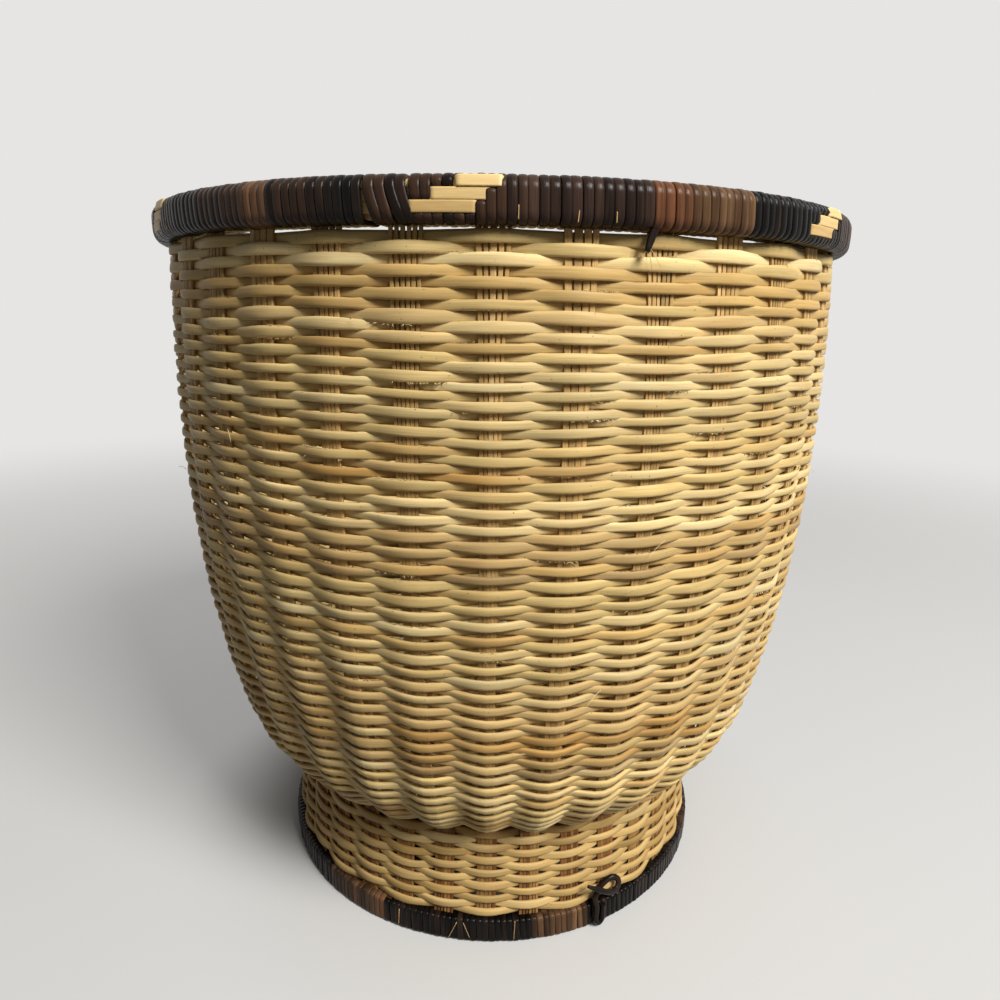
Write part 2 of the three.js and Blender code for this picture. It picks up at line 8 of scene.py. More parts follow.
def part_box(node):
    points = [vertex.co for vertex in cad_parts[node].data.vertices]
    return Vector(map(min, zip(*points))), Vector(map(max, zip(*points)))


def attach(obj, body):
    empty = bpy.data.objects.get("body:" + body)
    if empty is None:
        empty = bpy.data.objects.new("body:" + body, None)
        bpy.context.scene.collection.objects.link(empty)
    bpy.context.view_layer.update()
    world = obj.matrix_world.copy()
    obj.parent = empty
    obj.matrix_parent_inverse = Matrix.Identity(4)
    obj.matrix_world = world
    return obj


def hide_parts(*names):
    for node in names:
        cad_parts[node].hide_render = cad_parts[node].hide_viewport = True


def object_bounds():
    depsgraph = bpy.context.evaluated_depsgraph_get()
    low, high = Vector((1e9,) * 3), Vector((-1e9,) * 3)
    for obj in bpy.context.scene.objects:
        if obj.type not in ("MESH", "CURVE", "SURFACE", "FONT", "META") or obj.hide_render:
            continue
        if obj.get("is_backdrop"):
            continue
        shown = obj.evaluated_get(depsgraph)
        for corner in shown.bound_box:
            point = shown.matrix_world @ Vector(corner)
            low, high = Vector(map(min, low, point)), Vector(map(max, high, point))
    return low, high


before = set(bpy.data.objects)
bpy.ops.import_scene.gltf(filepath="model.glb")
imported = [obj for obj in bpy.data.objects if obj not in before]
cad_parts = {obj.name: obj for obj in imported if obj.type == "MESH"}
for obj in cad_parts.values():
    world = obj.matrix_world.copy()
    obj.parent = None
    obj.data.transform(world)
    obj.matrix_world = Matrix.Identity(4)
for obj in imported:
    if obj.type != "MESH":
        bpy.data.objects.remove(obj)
cad_low, cad_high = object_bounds()

# Wall stakes
# The bowl hangs on 35 flat splints of split bamboo. Each is slit into narrow strips, which stand apart near
# the rim and lie close lower down. They start at the floor's middle, turn up at its edge and end in the rim.
mm = 0.001
STAKES = 35
FIRST_STAKE = math.radians(-1)
STAKE_STEP = 2 * math.pi / STAKES
STAKE_THICKNESS = 1.2 * mm
STAKE_WIDTH_LOW = 6.6 * mm
STAKE_WIDTH_TOP = 11.3 * mm
STAKE_UNEVENNESS = 0.14
STAKE_SHARE_OF_FLOOR = 0.5
STRIPS_IN_A_STAKE = (5, 5, 6, 4, 5)
STRIP_GAP_LOW = (0.0, 0.05 * mm)
STRIP_GAP_TOP = (0.4 * mm, 0.8 * mm)
STRIP_DEPTHS = (-0.06, 0.06)  # millimetres by which a strip lies further in or out than its stake
OPENING_GROWTH = 4.5  # power by which the strips part, from the turn to the rim
STRIP_STEP = 8 * mm
CENTRE_RADIUS = 20 * mm
FLOOR_RADIUS = 79.8 * mm
TURN_REACH = 32.5 * mm
TURN_TOP = (135.5 * mm, 42.6 * mm)  # radius, and height over the floor
TURN_TOP_SLOPE = math.radians(73.6)
TURN_PULL = 19 * mm
WALL_PULL = 54.6 * mm
WALL_BELLY = (159.1 * mm, 165.4 * mm)
WALL_TOP = (152.9 * mm, 255.9 * mm)
BAMBOO_TONES = ("bb9860", "ad8c56", "c6a56e", "a08250")

floor_height = sum(corner.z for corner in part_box("floor_weave")) / 2


def colour(code):
    """The linear colour for one written as rrggbb."""
    shares = np.array([int(code[place:place + 2], 16) for place in (0, 2, 4)]) / 255
    return np.where(shares < 0.04045, shares / 12.92, ((shares + 0.055) / 1.055) ** 2.4)


def curve_through(start, pull, draw, end, count):
    """Points of the cubic curve with these four control points."""
    start, pull, draw, end = (np.array(point) for point in (start, pull, draw, end))
    share = np.linspace(0, 1, count)[:, None]
    rest = 1 - share
    return start * rest**3 + 3 * pull * rest**2 * share + 3 * draw * rest * share**2 + end * share**3


def uneven(rng, low, high, spacing):
    """A smooth random value as a function of the place along a strand, with a new value at each spacing."""
    knots = rng.uniform(low, high, 9973)  # more than the longest spiral has

    def value(place):
        place = np.asarray(place) / spacing
        before = np.floor(place).astype(int)
        share = place - before
        first = knots[before % len(knots)]
        second = knots[(before + 1) % len(knots)]
        return first + (second - first) * share * share * (3 - 2 * share)

    return value


def unit(vectors):
    return vectors / np.linalg.norm(vectors, axis=-1, keepdims=True)


def travel_along(path):
    """The distance along a path at each of its points."""
    return np.concatenate([[0], np.cumsum(np.linalg.norm(np.diff(path, axis=0), axis=1))])


def values_at(place, places, values):
    """The values at a place, or at each of several, between those at known places."""
    return np.stack([np.interp(place, places, column) for column in values.T], axis=-1)


def outward(angle):
    """The level direction out from the basket's middle at an angle, or at each of several."""
    return np.stack([np.sin(angle), -np.cos(angle), np.zeros_like(angle)], axis=-1)


def round_points(angle, section):
    """Where points of a section, given as radius and height, come at an angle round the basket."""
    return outward(angle) * section[:, :1] + section[:, 1:] * (0, 0, 1)


def sideways(angle):
    """The level direction along the basket's side at an angle, towards larger angles."""
    return outward(angle + math.pi / 2)


class Wall:
    """A round wall, given by its middle line as radius and height."""

    def __init__(self, line):
        self.line = line
        self.along = travel_along(line)
        tangent = np.gradient(line, self.along, axis=0)
        self.normal = np.stack([tangent[:, 1], -tangent[:, 0]], axis=1)

    def at(self, angle, along, out):
        """Points at an angle, a distance along the line and one out of it, and the directions out there."""
        normal = values_at(along, self.along, self.normal)
        section = values_at(along, self.along, self.line) + np.reshape(out, (-1, 1)) * normal
        angle = np.broadcast_to(angle, along.shape)
        return round_points(angle, section), round_points(angle, normal)


def strand(path, face, width, thickness, section, tint, twist=0.0):
    """One strip along a path, its broad side turned to face. The section's points are (across, out) of its
    half width and half thickness, and the tint is one colour, or one for each point of the path."""
    tangent = unit(np.gradient(path, axis=0))
    across = unit(np.cross(tangent, face))
    out = np.cross(across, tangent)
    turn = np.broadcast_to(twist, len(path))[:, None]
    across, out = across * np.cos(turn) + out * np.sin(turn), out * np.cos(turn) - across * np.sin(turn)
    half_width = np.broadcast_to(width, len(path))[:, None] / 2 * section[:, 0]
    half_depth = np.broadcast_to(thickness, len(path))[:, None] / 2 * section[:, 1]
    points = path[:, None] + across[:, None] * half_width[..., None] + out[:, None] * half_depth[..., None]
    travel = np.broadcast_to(travel_along(path)[:, None], half_width.shape)
    marks = np.stack([travel, half_width], axis=-1)
    tints = np.broadcast_to(np.broadcast_to(tint, (len(path), 3))[:, None], points.shape)
    return points, marks, tints


def put(name, data):
    """A new object of the scene."""
    made = bpy.data.objects.new(name, data)
    bpy.context.scene.collection.objects.link(made)
    return made


MARKED_STRANDS = 997  # before their own marks, by which they differ in the finish, start again


def lay(name, strands, material):
    """A mesh object made of strands, with the marks and tints that its material reads."""
    corners, sizes, smooth, base = [], [], [], 0
    marks = []
    for number, (points, places, _) in enumerate(strands):
        rings, sides = points.shape[:2]
        index = base + np.arange(rings * sides).reshape(rings, sides)
        after = np.roll(index, -1, axis=1)
        corners.append(np.stack([index[:-1], index[1:], after[1:], after[:-1]], axis=-1).ravel())
        corners.append(np.concatenate([index[0], index[-1][::-1]]))
        sizes.append(np.array([4] * ((rings - 1) * sides) + [sides, sides]))
        smooth.append(np.array([True] * ((rings - 1) * sides) + [False, False]))
        own = np.full(points.shape[:2] + (1,), number % MARKED_STRANDS + 0.37)
        marks.append(np.concatenate([places, own], axis=-1).reshape(-1, 3))
        base += rings * sides
    sizes = np.concatenate(sizes)
    corners = np.concatenate(corners)
    mesh = bpy.data.meshes.new(name)
    mesh.vertices.add(base)
    mesh.vertices.foreach_set("co", np.concatenate([points.reshape(-1) for points, _, _ in strands]))
    mesh.loops.add(len(corners))
    mesh.loops.foreach_set("vertex_index", corners.astype(np.int32))
    mesh.polygons.add(len(sizes))
    mesh.polygons.foreach_set("loop_start", np.concatenate([[0], np.cumsum(sizes)[:-1]]).astype(np.int32))
    mesh.polygons.foreach_set("use_smooth", np.concatenate(smooth))
    mesh.update(calc_edges=True)
    strand_marks = mesh.attributes.new("strand", "FLOAT_VECTOR", "POINT")
    strand_marks.data.foreach_set("vector", np.concatenate(marks).ravel())
    tints = np.concatenate([tints.reshape(-1, 3) for _, _, tints in strands])
    tint = mesh.attributes.new("tint", "FLOAT_COLOR", "POINT")
    tint.data.foreach_set("color", np.column_stack([tints, np.ones(len(tints))]).ravel())
    mesh.materials.append(material)
    return put(name, mesh)


def add_node(tree, kind, inputs, **settings):
    """A shader node. Each input is a value or the socket of another node."""
    made = tree.nodes.new(kind)
    for name, value in settings.items():
        setattr(made, name, value)
    for name, value in inputs.items():
        if isinstance(value, bpy.types.NodeSocket):
            tree.links.new(value, made.inputs[name])
        else:
            made.inputs[name].default_value = value
    return made


FIBRE_GRAIN = (18 * mm, 0.25 * mm)  # along and across the strip
TONE_GRAIN = (26 * mm, 2.6 * mm)
STAIN_GRAIN = (34 * mm, 5 * mm)
FIBRE_HEIGHT = 0.1 * mm
SPECK_SCALE = 900.0  # specks to a metre
SPECK_TONE = "2c1a0c"


def math_of(tree, operation, first, second):
    return add_node(tree, "ShaderNodeMath", {0: first, 1: second}, operation=operation).outputs[0]


def fibre_finish(name, roughness, gloss, fibre, tone, stain, stain_share, specks, relief):
    """Split or peeled cane and bamboo: the strip's own tint, with fine fibres and slow changes of tone along
    it, patches of stain, dark specks and the relief of the fibres."""
    material = bpy.data.materials.new(name)
    material.use_nodes = True
    tree = material.node_tree
    shader = tree.nodes["Principled BSDF"]

    def noise(along_size, across_size, detail):
        place = add_node(tree, "ShaderNodeCombineXYZ", {
            "X": math_of(tree, "DIVIDE", marks.outputs["X"], along_size),
            "Y": math_of(tree, "DIVIDE", marks.outputs["Y"], across_size),
            "Z": math_of(tree, "MULTIPLY", marks.outputs["Z"], 7.3),
        })
        inputs = {"Vector": place.outputs[0], "Scale": 1.0, "Detail": detail, "Roughness": 0.6}
        return add_node(tree, "ShaderNodeTexNoise", inputs).outputs["Fac"]

    def spread(value, low, high, value_low=0.3, value_high=0.7):
        ranges = {"From Min": value_low, "From Max": value_high, "To Min": low, "To Max": high}
        return add_node(tree, "ShaderNodeMapRange", {"Value": value, **ranges}).outputs[0]

    def mixed(share, first, second):
        return add_node(tree, "ShaderNodeMix", {0: share, 6: first, 7: second}, data_type="RGBA").outputs[2]

    strip = add_node(tree, "ShaderNodeAttribute", {}, attribute_name="strand")
    marks = add_node(tree, "ShaderNodeSeparateXYZ", {0: strip.outputs["Vector"]})
    tint = add_node(tree, "ShaderNodeAttribute", {}, attribute_name="tint").outputs["Color"]
    fibres = noise(*FIBRE_GRAIN, 3.0)
    tones = noise(*TONE_GRAIN, 2.0)
    fibre_light, tone_light = spread(fibres, 1 - fibre, 1 + fibre), spread(tones, 1 - tone, 1 + tone)
    light = math_of(tree, "MULTIPLY", fibre_light, tone_light)
    lit = add_node(tree, "ShaderNodeVectorMath", {0: tint, "Scale": light}, operation="SCALE").outputs[0]
    stain_places = noise(*STAIN_GRAIN, 3.0)
    stained = mixed(spread(stain_places, 0, stain_share, 0.5, 0.75), lit, (*colour(stain), 1))
    where = add_node(tree, "ShaderNodeTexCoord", {}).outputs["Object"]
    speck = add_node(tree, "ShaderNodeTexNoise", {"Vector": where, "Scale": SPECK_SCALE, "Detail": 1.0})
    speck_share = spread(speck.outputs["Fac"], 0, 0.7, 0.8 - specks, 0.86 - specks)
    spotted = mixed(speck_share, stained, (*colour(SPECK_TONE), 1))
    tree.links.new(spotted, shader.inputs["Base Color"])
    tree.links.new(spread(fibres, roughness - 0.08, roughness + 0.08), shader.inputs["Roughness"])
    bump = add_node(tree, "ShaderNodeBump", {"Height": fibres, "Strength": relief, "Distance": FIBRE_HEIGHT})
    tree.links.new(bump.outputs[0], shader.inputs["Normal"])
    shader.inputs["Specular IOR Level"].default_value = gloss
    return material


turn_slope = np.array([math.cos(TURN_TOP_SLOPE), math.sin(TURN_TOP_SLOPE)])
turn_top = np.array(TURN_TOP)
turn_line = curve_through(
    (FLOOR_RADIUS, 0), (FLOOR_RADIUS + TURN_REACH, 0), turn_top - TURN_PULL * turn_slope, turn_top, 60
)
wall_line = curve_through(turn_top, turn_top + WALL_PULL * turn_slope, WALL_BELLY, WALL_TOP, 120)
stake_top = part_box("wall_stake_01")[1].z - floor_height
bowl_line = np.vstack([(CENTRE_RADIUS, 0), turn_line, wall_line[1:], (WALL_TOP[0], stake_top)])
bowl = Wall(bowl_line + (0, floor_height))
floor_end, turn_end, wall_end = bowl.along[1], bowl.along[len(turn_line)], bowl.along[-2]
STRIP_SECTION = np.array([
    (-1, -0.7), (-0.9, -1), (0.9, -1), (1, -0.7), (1, 0.7), (0.92, 0.97), (0.7, 1), (-0.7, 1),
    (-0.92, 0.97), (-1, 0.7),
])

# The wall stands out a little over each stake, most of all at the turn
LOBES = (0, 0.5 * mm, 0.85 * mm, 0.3 * mm, 0.15 * mm)


def lobe_at(along):
    places = (0, floor_end, turn_end, (turn_end + wall_end) / 2, wall_end)
    return np.interp(along, places, LOBES)


def slit_splint(wall, number, along, out, width, opening, tones, rng):
    """Strips of one splint, which part by the share given as opening at each place along it."""
    angle = FIRST_STAKE + number * STAKE_STEP
    count = rng.choice(STRIPS_IN_A_STAKE)
    gap_low = rng.uniform(*STRIP_GAP_LOW, count - 1)
    gap_top = rng.uniform(*STRIP_GAP_TOP, count - 1)
    gaps = (gap_low + np.outer(opening, gap_top - gap_low)) * np.minimum(width / STAKE_WIDTH_LOW, 1)[:, None]
    share = rng.uniform(0.8, 1.2, count)
    widths = (width - gaps.sum(axis=1))[:, None] * share / share.sum()
    starts = np.cumsum(np.column_stack([np.zeros(len(along)), widths[:, :-1] + gaps]), axis=1)
    radius = np.interp(along, wall.along, wall.line[:, 0])
    strips = []
    for strip in range(count):
        middle = starts[:, strip] + widths[:, strip] / 2 - width / 2
        depth = out + rng.uniform(*STRIP_DEPTHS) * mm
        path, face = wall.at(angle + middle / radius, along, depth)
        tint = colour(rng.choice(tones)) * rng.uniform(0.88, 1.1)
        strips.append(strand(path, face, widths[:, strip], STAKE_THICKNESS, STRIP_SECTION, tint))
    return strips


split_bamboo = fibre_finish(
    "split_bamboo", roughness=0.62, gloss=0.2, fibre=0.2, tone=0.12, stain="5a3c1e", stain_share=0.5,
    specks=0.02, relief=0.5,
)
rng = np.random.default_rng(35)
stake_along = np.append(np.arange(0.6 * mm, bowl.along[-1] - STRIP_STEP / 2, STRIP_STEP), bowl.along[-1])
opening = np.clip((stake_along - turn_end) / (wall_end - turn_end), 0, 1) ** OPENING_GROWTH
room = np.interp(stake_along, bowl.along, bowl.line[:, 0]) * STAKE_STEP
stake_width = STAKE_WIDTH_LOW + (STAKE_WIDTH_TOP - STAKE_WIDTH_LOW) * opening
stake_width = np.minimum(stake_width, STAKE_SHARE_OF_FLOOR * room)
for number in range(STAKES):
    own_width = stake_width * (1 + rng.uniform(-1, 1) * STAKE_UNEVENNESS * (1 - opening))
    strips = slit_splint(
        bowl, number, stake_along, lobe_at(stake_along), own_width, opening, BAMBOO_TONES, rng
    )
    stake = lay(f"stake_{number + 1:02d}", strips, split_bamboo)
    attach(stake, "root")
    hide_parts(f"wall_stake_{number + 1:02d}")

# Weavers of floor and wall
# Half-round strips of peeled cane, each about two rounds long. They go over and under the stakes as one
# spiral from the floor's middle to the rim, and a new strip starts inside where the last one ends.
ROW_PITCH = 3.0 * mm
TOP_ROW_PITCH = 3.5 * mm
TOP_ROWS = 8
WEAVER_THICKNESS = 1.6 * mm
WEAVER_SLACK = 0.2 * mm
WEAVER_DEPTH = (STAKE_THICKNESS + WEAVER_THICKNESS) / 2 + WEAVER_SLACK  # of its middle, from a stake's
WEAVER_OVERSPAN = 0.26  # by which it is wider than its row where it lies on a stake
WEAVER_LAP = 1.17  # least width of a weaver between and behind the stakes, over its row's
WEAVER_WIDTHS = (0.85, 1.1)  # of one weaver, over the usual
STEPS_PER_STAKE = 6
RISE_STARTS, RISE_ENDS = 0.36, 0.64  # share of a round in which the spiral climbs, behind the basket
WEAVER_LENGTHS = (44, 96)  # stakes
SHORTEST_WEAVER = 5  # stakes
LAP = 0.5  # stakes by which a new weaver starts before the old one's end
LAP_DEPTH = 1.6 * mm  # by which its start lies further in
DRIFT = 0.45 * mm  # slow rise and fall of the rows, away from the wall's two ends
DRIFT_WAVES = ((1, 3, 21, 1), (0.7, 5, -34, 2), (0.7, 11, 60, 0))  # size, waves a round, climb, start
DRIFT_FADE = 9 * ROW_PITCH
OUT_OF_ROUND = 0.5 * mm
CHANGES = (  # along a weaver: the lowest and the highest, and the stakes from one value to the next
    (-0.2 * mm, 0.2 * mm, 1),  # of its height
    (0.86, 1.08, 1.3),  # width
    (-0.15 * mm, 0.2 * mm, 1),  # place out or in
    (-0.16, 0.16, 1.7),  # twist
    (0.84, 1.08, 2.3),  # shade
)
WEAVER_SECTION = np.array([
    (-1, -0.5), (-0.8, -0.95), (0.8, -0.95), (1, -0.5), (1, 0.2),
    (0.9, 0.66), (0.5, 0.96), (-0.4, 1), (-0.88, 0.74), (-1, 0.3),
])
CANE_TONES = ("d0b67f", "c7ab70", "d9c28d", "bb9a60", "c2a36c", "b18a4f", "a3875a")
CANE_SHARES = (0.28, 0.24, 0.14, 0.13, 0.12, 0.04, 0.05)


def eased(value, low, high):
    """0 below low, 1 above high and smooth between."""
    share = np.clip((value - low) / (high - low), 0, 1)
    return share * share * (3 - 2 * share)


def row_edges(length, pitch, top_rows, top_pitch):
    """Edges of the rows on a wall of some length, whose top rows are of another pitch."""
    low_length = length - top_rows * top_pitch
    low_rows = round(low_length / pitch)
    return np.append(np.linspace(0, low_length, low_rows + 1)[:-1],
                     np.linspace(low_length, length, top_rows + 1))


def weave(wall, edges, splint_width, lobes, tones, shares, boundaries, rng):
    """Weavers of one spiral with the given row edges, round splints of some width, on a wall whose lobes
    are a function of the place along it. Each comes with the distance along the wall of its middle and how
    far outside the stakes its points lie, from -1 to 1. A weaver ends at each boundary too. Places on the
    spiral are counted in stakes."""
    rows = len(edges) - 1
    place = np.arange(-0.5 * STAKES, (rows - 0.5) * STAKES, 1 / STEPS_PER_STAKE)
    rounds = place / STAKES
    row = np.floor(rounds) + eased(rounds - np.floor(rounds), RISE_STARTS, RISE_ENDS)
    low, high = (np.interp(row + step, np.arange(rows + 1), edges) for step in (0, 1))
    pitch = high - low
    kept = pitch > 0.4 * np.median(pitch)
    place, low, high, pitch = place[kept], low[kept], high[kept], pitch[kept]
    along = (low + high) / 2
    angle = FIRST_STAKE + place * STAKE_STEP
    over = np.cos(math.pi * place)
    radius = np.interp(along, wall.along, wall.line[:, 0])
    splint_edge = np.cos(math.pi * np.minimum(splint_width / 2 / (radius * STAKE_STEP), 0.3))
    slender = np.interp(radius, (CENTRE_RADIUS, 3 * CENTRE_RADIUS), (0.7, 1))
    fade = np.clip(np.minimum(along, edges[-1] - along) / DRIFT_FADE, 0, 1)
    wave = sum(size * np.sin(turns * angle + climb * along + start)
               for size, turns, climb, start in DRIFT_WAVES)
    drift = DRIFT * fade * wave
    out_of_round = OUT_OF_ROUND * np.sin(2 * angle + 0.7) * fade
    shift, swell, lift, twist, shade = (uneven(rng, *change)(place) for change in CHANGES)
    width = pitch * (1 + WEAVER_OVERSPAN * over.clip(0)) * swell
    out = over * WEAVER_DEPTH * slender
    out = out + lobes(along) * np.cos(2 * math.pi * place) + out_of_round + lift
    ends = [place[0]]
    limits = [*np.interp(boundaries, along, place), place[-1]]
    while ends[-1] < place[-1]:
        wanted = ends[-1] + rng.uniform(*WEAVER_LENGTHS)
        limit = next((limit for limit in limits if limit > ends[-1] + SHORTEST_WEAVER), place[-1])
        wanted = min(wanted, limit)
        hidden = 2 * round((wanted - 1) / 2) + 1.25  # just past a stake that it lies behind
        ends.append(hidden if wanted < place[-1] else place[-1])
    blend = uneven(rng, -0.3, 1.3, 3.7)(place).clip(0, 1)[:, None]
    weavers = []
    for start, end in zip(ends[:-1], ends[1:]):
        own = (place >= start - LAP) & (place <= end)
        sink = np.clip(1 - (place[own] - start + LAP) / (2 * LAP), 0, 1) if start > place[0] else 0
        middle = along[own] + drift[own] + shift[own]
        path, face = wall.at(angle[own], middle, out[own] - LAP_DEPTH * sink)
        first, second = (colour(rng.choice(tones, p=shares)) for _ in range(2))
        tint = first + (second - first) * blend[own]
        tint = tint * rng.uniform(0.92, 1.06) * shade[own][:, None]
        size = WEAVER_THICKNESS * slender[own] * rng.uniform(0.92, 1.08)
        own_width = width[own] * rng.uniform(*WEAVER_WIDTHS)
        between = eased(splint_edge[own] + over[own], -0.1, 0.05) * eased(-over[own], -0.6, -0.2)
        own_width += np.maximum(WEAVER_LAP * pitch[own] - own_width, 0) * between
        body = strand(path, face, own_width, size, WEAVER_SECTION, tint, twist[own])
        weavers.append((along[own].mean(), body, over[own]))
    return weavers


peeled_cane = fibre_finish(
    "peeled_cane", roughness=0.46, gloss=0.12, fibre=0.15, tone=0.12, stain="a8743c", stain_share=0.3,
    specks=0.055, relief=0.3,
)
rng = np.random.default_rng(7)
bowl_edges = row_edges(wall_end, ROW_PITCH, TOP_ROWS, TOP_ROW_PITCH)
courses = {
    "floor_weave": floor_end,
    "floor_edge_weave": bowl.along[1 + len(turn_line) // 2],
    "turn_weave": turn_end,
    "lower_wall_weave": bowl.along[len(turn_line) + int(0.34 * len(wall_line))],
    "middle_wall_weave": bowl.along[len(turn_line) + int(0.66 * len(wall_line))],
    "upper_wall_weave": wall_end,
}
boundaries = list(courses.values())
bowl_weavers = weave(
    bowl, bowl_edges, STAKE_WIDTH_LOW, lobe_at, CANE_TONES, CANE_SHARES, boundaries[:-1], rng
)
for number, node in enumerate(courses):
    low = boundaries[number - 1] if number else -1
    own = [body for middle, body, over in bowl_weavers if low <= middle < boundaries[number]]
    weavers = lay(node.replace("weave", "weavers"), own, peeled_cane)
    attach(weavers, "root")
    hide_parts(node)

# Floor centre
# The weave starts round a small coil of cane. Its rounds lie flat side by side and are wrapped with a
# narrow strip of the same cane, which holds each to the one before it.
COIL_CANE = 2.7 * mm
COIL_START = 1.7 * mm
COIL_PITCH = 3.25 * mm
COIL_STEP = 0.9 * mm
WRAP_WIDTH = 1.5 * mm
WRAP_THICKNESS = 0.5 * mm
WRAP_PITCH = 2.4 * mm
ROUND_SECTION = np.array([(math.cos(turn), math.sin(turn)) for turn in np.arange(8) * math.pi / 4])


def wrapped_round(path, face, distance, pitch):
    """A strip wound round a path at a distance from its middle line: the strip's own path and faces."""
    travel = travel_along(path)
    places = np.arange(0, travel[-1], pitch / 8)
    middle, up = values_at(places, travel, path), values_at(places, travel, face)
    side = unit(np.cross(np.gradient(middle, axis=0), up))
    turn = (places / pitch * 2 * math.pi)[:, None]
    out = up * np.cos(turn) + side * np.sin(turn)
    return middle + out * distance, out


coil_end = CENTRE_RADIUS - COIL_CANE / 2
coil_turns = (coil_end - COIL_START) / COIL_PITCH
coil_share = np.linspace(0, 1, round(math.pi * coil_end**2 / COIL_PITCH / COIL_STEP))
coil_turn = np.sqrt(coil_share) * coil_turns
coil_radius = COIL_START + coil_turn * COIL_PITCH
coil_angle = 2 * math.pi * coil_turn
coil_path = outward(coil_angle) * coil_radius[:, None] + (0, 0, floor_height)
coil_face = np.tile((0.0, 0.0, 1.0), (len(coil_path), 1))
coil = strand(coil_path, coil_face, COIL_CANE, COIL_CANE, ROUND_SECTION, colour("c2a165"))
wrap_path, wrap_face = wrapped_round(coil_path, coil_face, (COIL_CANE + WRAP_THICKNESS) / 2, WRAP_PITCH)
wrap = strand(wrap_path, wrap_face, WRAP_WIDTH, WRAP_THICKNESS, STRIP_SECTION, colour("b08c50"))
floor_coil = lay("floor_coil", [coil, wrap], peeled_cane)
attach(floor_coil, "root")
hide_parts("floor_centre")

# Foot splints
# The foot has splints of its own, one under each wall stake. They are browner than those of the wall, stand
# between the foot's two hoops and are slit near their lower ends.
FOOT_RADIUS = 110.9 * mm
FOOT_FLARE = 3.3 * mm
FOOT_SPLINT_WIDTH = 9 * mm
FOOT_STEP = 4 * mm
BROWN_BAMBOO_TONES = ("7c552e", "8c6436", "6b4626", "94703f")

splint_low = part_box("foot_stakes")[0].z
foot_weave_low, foot_weave_high = (corner.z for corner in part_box("foot_weave"))
foot = Wall(np.array([
    (FOOT_RADIUS, splint_low), (FOOT_RADIUS, foot_weave_low), (FOOT_RADIUS - FOOT_FLARE, foot_weave_high)
]))
brown_bamboo = fibre_finish(
    "brown_bamboo", roughness=0.62, gloss=0.2, fibre=0.22, tone=0.15, stain="3c2512", stain_share=0.6,
    specks=0.03, relief=0.5,
)
rng = np.random.default_rng(71)
splint_along = np.linspace(0, foot.along[-1], round(foot.along[-1] / FOOT_STEP) + 1)
foot_opening = np.clip(1 - splint_along / foot.along[-1] * 1.8, 0, 1)
splint_width = np.full(len(splint_along), FOOT_SPLINT_WIDTH)
foot_strips = []
for number in range(STAKES):
    foot_strips += slit_splint(
        foot, number, splint_along, 0, splint_width, foot_opening, BROWN_BAMBOO_TONES, rng
    )
foot_splints = lay("foot_splints", foot_strips, brown_bamboo)
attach(foot_splints, "root")
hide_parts("foot_stakes")

# Weavers of the foot
# Browner peeled cane goes round the foot in 11 rows, from the bound edge up to the underside of the bowl,
# over and under the foot's own splints.
FOOT_ROW_PITCH = 3.3 * mm
FOOT_CANE_TONES = ("c2a268", "ab8a52", "cfb27a", "967341", "8a6a3c")
FOOT_CANE_SHARES = (0.32, 0.26, 0.18, 0.14, 0.1)

rng = np.random.default_rng(13)
foot_length = foot.along[-1] - foot.along[1]
foot_edges = foot.along[1] + row_edges(foot_length, FOOT_ROW_PITCH, 0, FOOT_ROW_PITCH)
foot_weavers = weave(
    foot, foot_edges, FOOT_SPLINT_WIDTH, np.zeros_like, FOOT_CANE_TONES, FOOT_CANE_SHARES, [], rng
)
foot_cane = lay("foot_weavers", [body for middle, body, over in foot_weavers], peeled_cane)
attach(foot_cane, "root")
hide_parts("foot_weave")

# Joint of foot and bowl
# A thin round hoop of cane lies in the corner between foot and bowl, inside, and narrow cane lashes it to
# both. Neither shows in the photo.
RING_STEPS = 240  # points round a hoop
LASHING_WIDTH = 2.2 * mm
LASHING_THICKNESS = 0.5 * mm
LASHING_PITCH = 6 * mm


def level_ring(radius, height, steps):
    """Points of a level circle, closed, and the directions out from its middle."""
    face = outward(np.linspace(0, 2 * math.pi, steps + 1))
    return face * radius + (0, 0, height), face


joint_low, joint_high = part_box("joint_hoop")
joint_size = joint_high.z - joint_low.z
joint_radius = joint_high.x - joint_size / 2
joint_path, joint_face = level_ring(joint_radius, (joint_low.z + joint_high.z) / 2, RING_STEPS)
hoop_size = joint_size - LASHING_THICKNESS
joint_body = strand(joint_path, joint_face, hoop_size, hoop_size, ROUND_SECTION, colour("a9854d"))
joint_hoop = lay("joint_cane", [joint_body], peeled_cane)
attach(joint_hoop, "root")
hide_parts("joint_hoop")
lashing_path, lashing_face = wrapped_round(joint_path, joint_face, joint_size / 2, LASHING_PITCH)
lashing_body = strand(
    lashing_path, lashing_face, LASHING_WIDTH, LASHING_THICKNESS, STRIP_SECTION, colour("94703f")
)
lashing = lay("joint_lashing_cane", [lashing_body], peeled_cane)
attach(lashing, "root")
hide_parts("joint_lashing")

# Hoops of rim and foot
# Each edge has an inner and an outer hoop of split cane, which clamp the stakes between them. The dark cane
# is bound round both, so they show only through its slits.
hoop_cane = fibre_finish(
    "hoop_cane", roughness=0.55, gloss=0.25, fibre=0.14, tone=0.1, stain="6b4522", stain_share=0.4,
    specks=0.03, relief=0.3,
)
HOOP_THICKNESS = {
    "rim_inner_hoop": 4.6 * mm, "rim_outer_hoop": 3 * mm, "foot_inner_hoop": 2.1 * mm,
    "foot_outer_hoop": 2.1 * mm,
}
for node, size in HOOP_THICKNESS.items():
    low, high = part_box(node)
    path, face = level_ring(high.x - size / 2, (low.z + high.z) / 2, RING_STEPS)
    body = strand(path, face, high.z - low.z, size, STRIP_SECTION, colour("a58252"))
    hoop = lay(node.replace("hoop", "hoop_cane"), [body], hoop_cane)
    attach(hoop, "root")
    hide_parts(node)

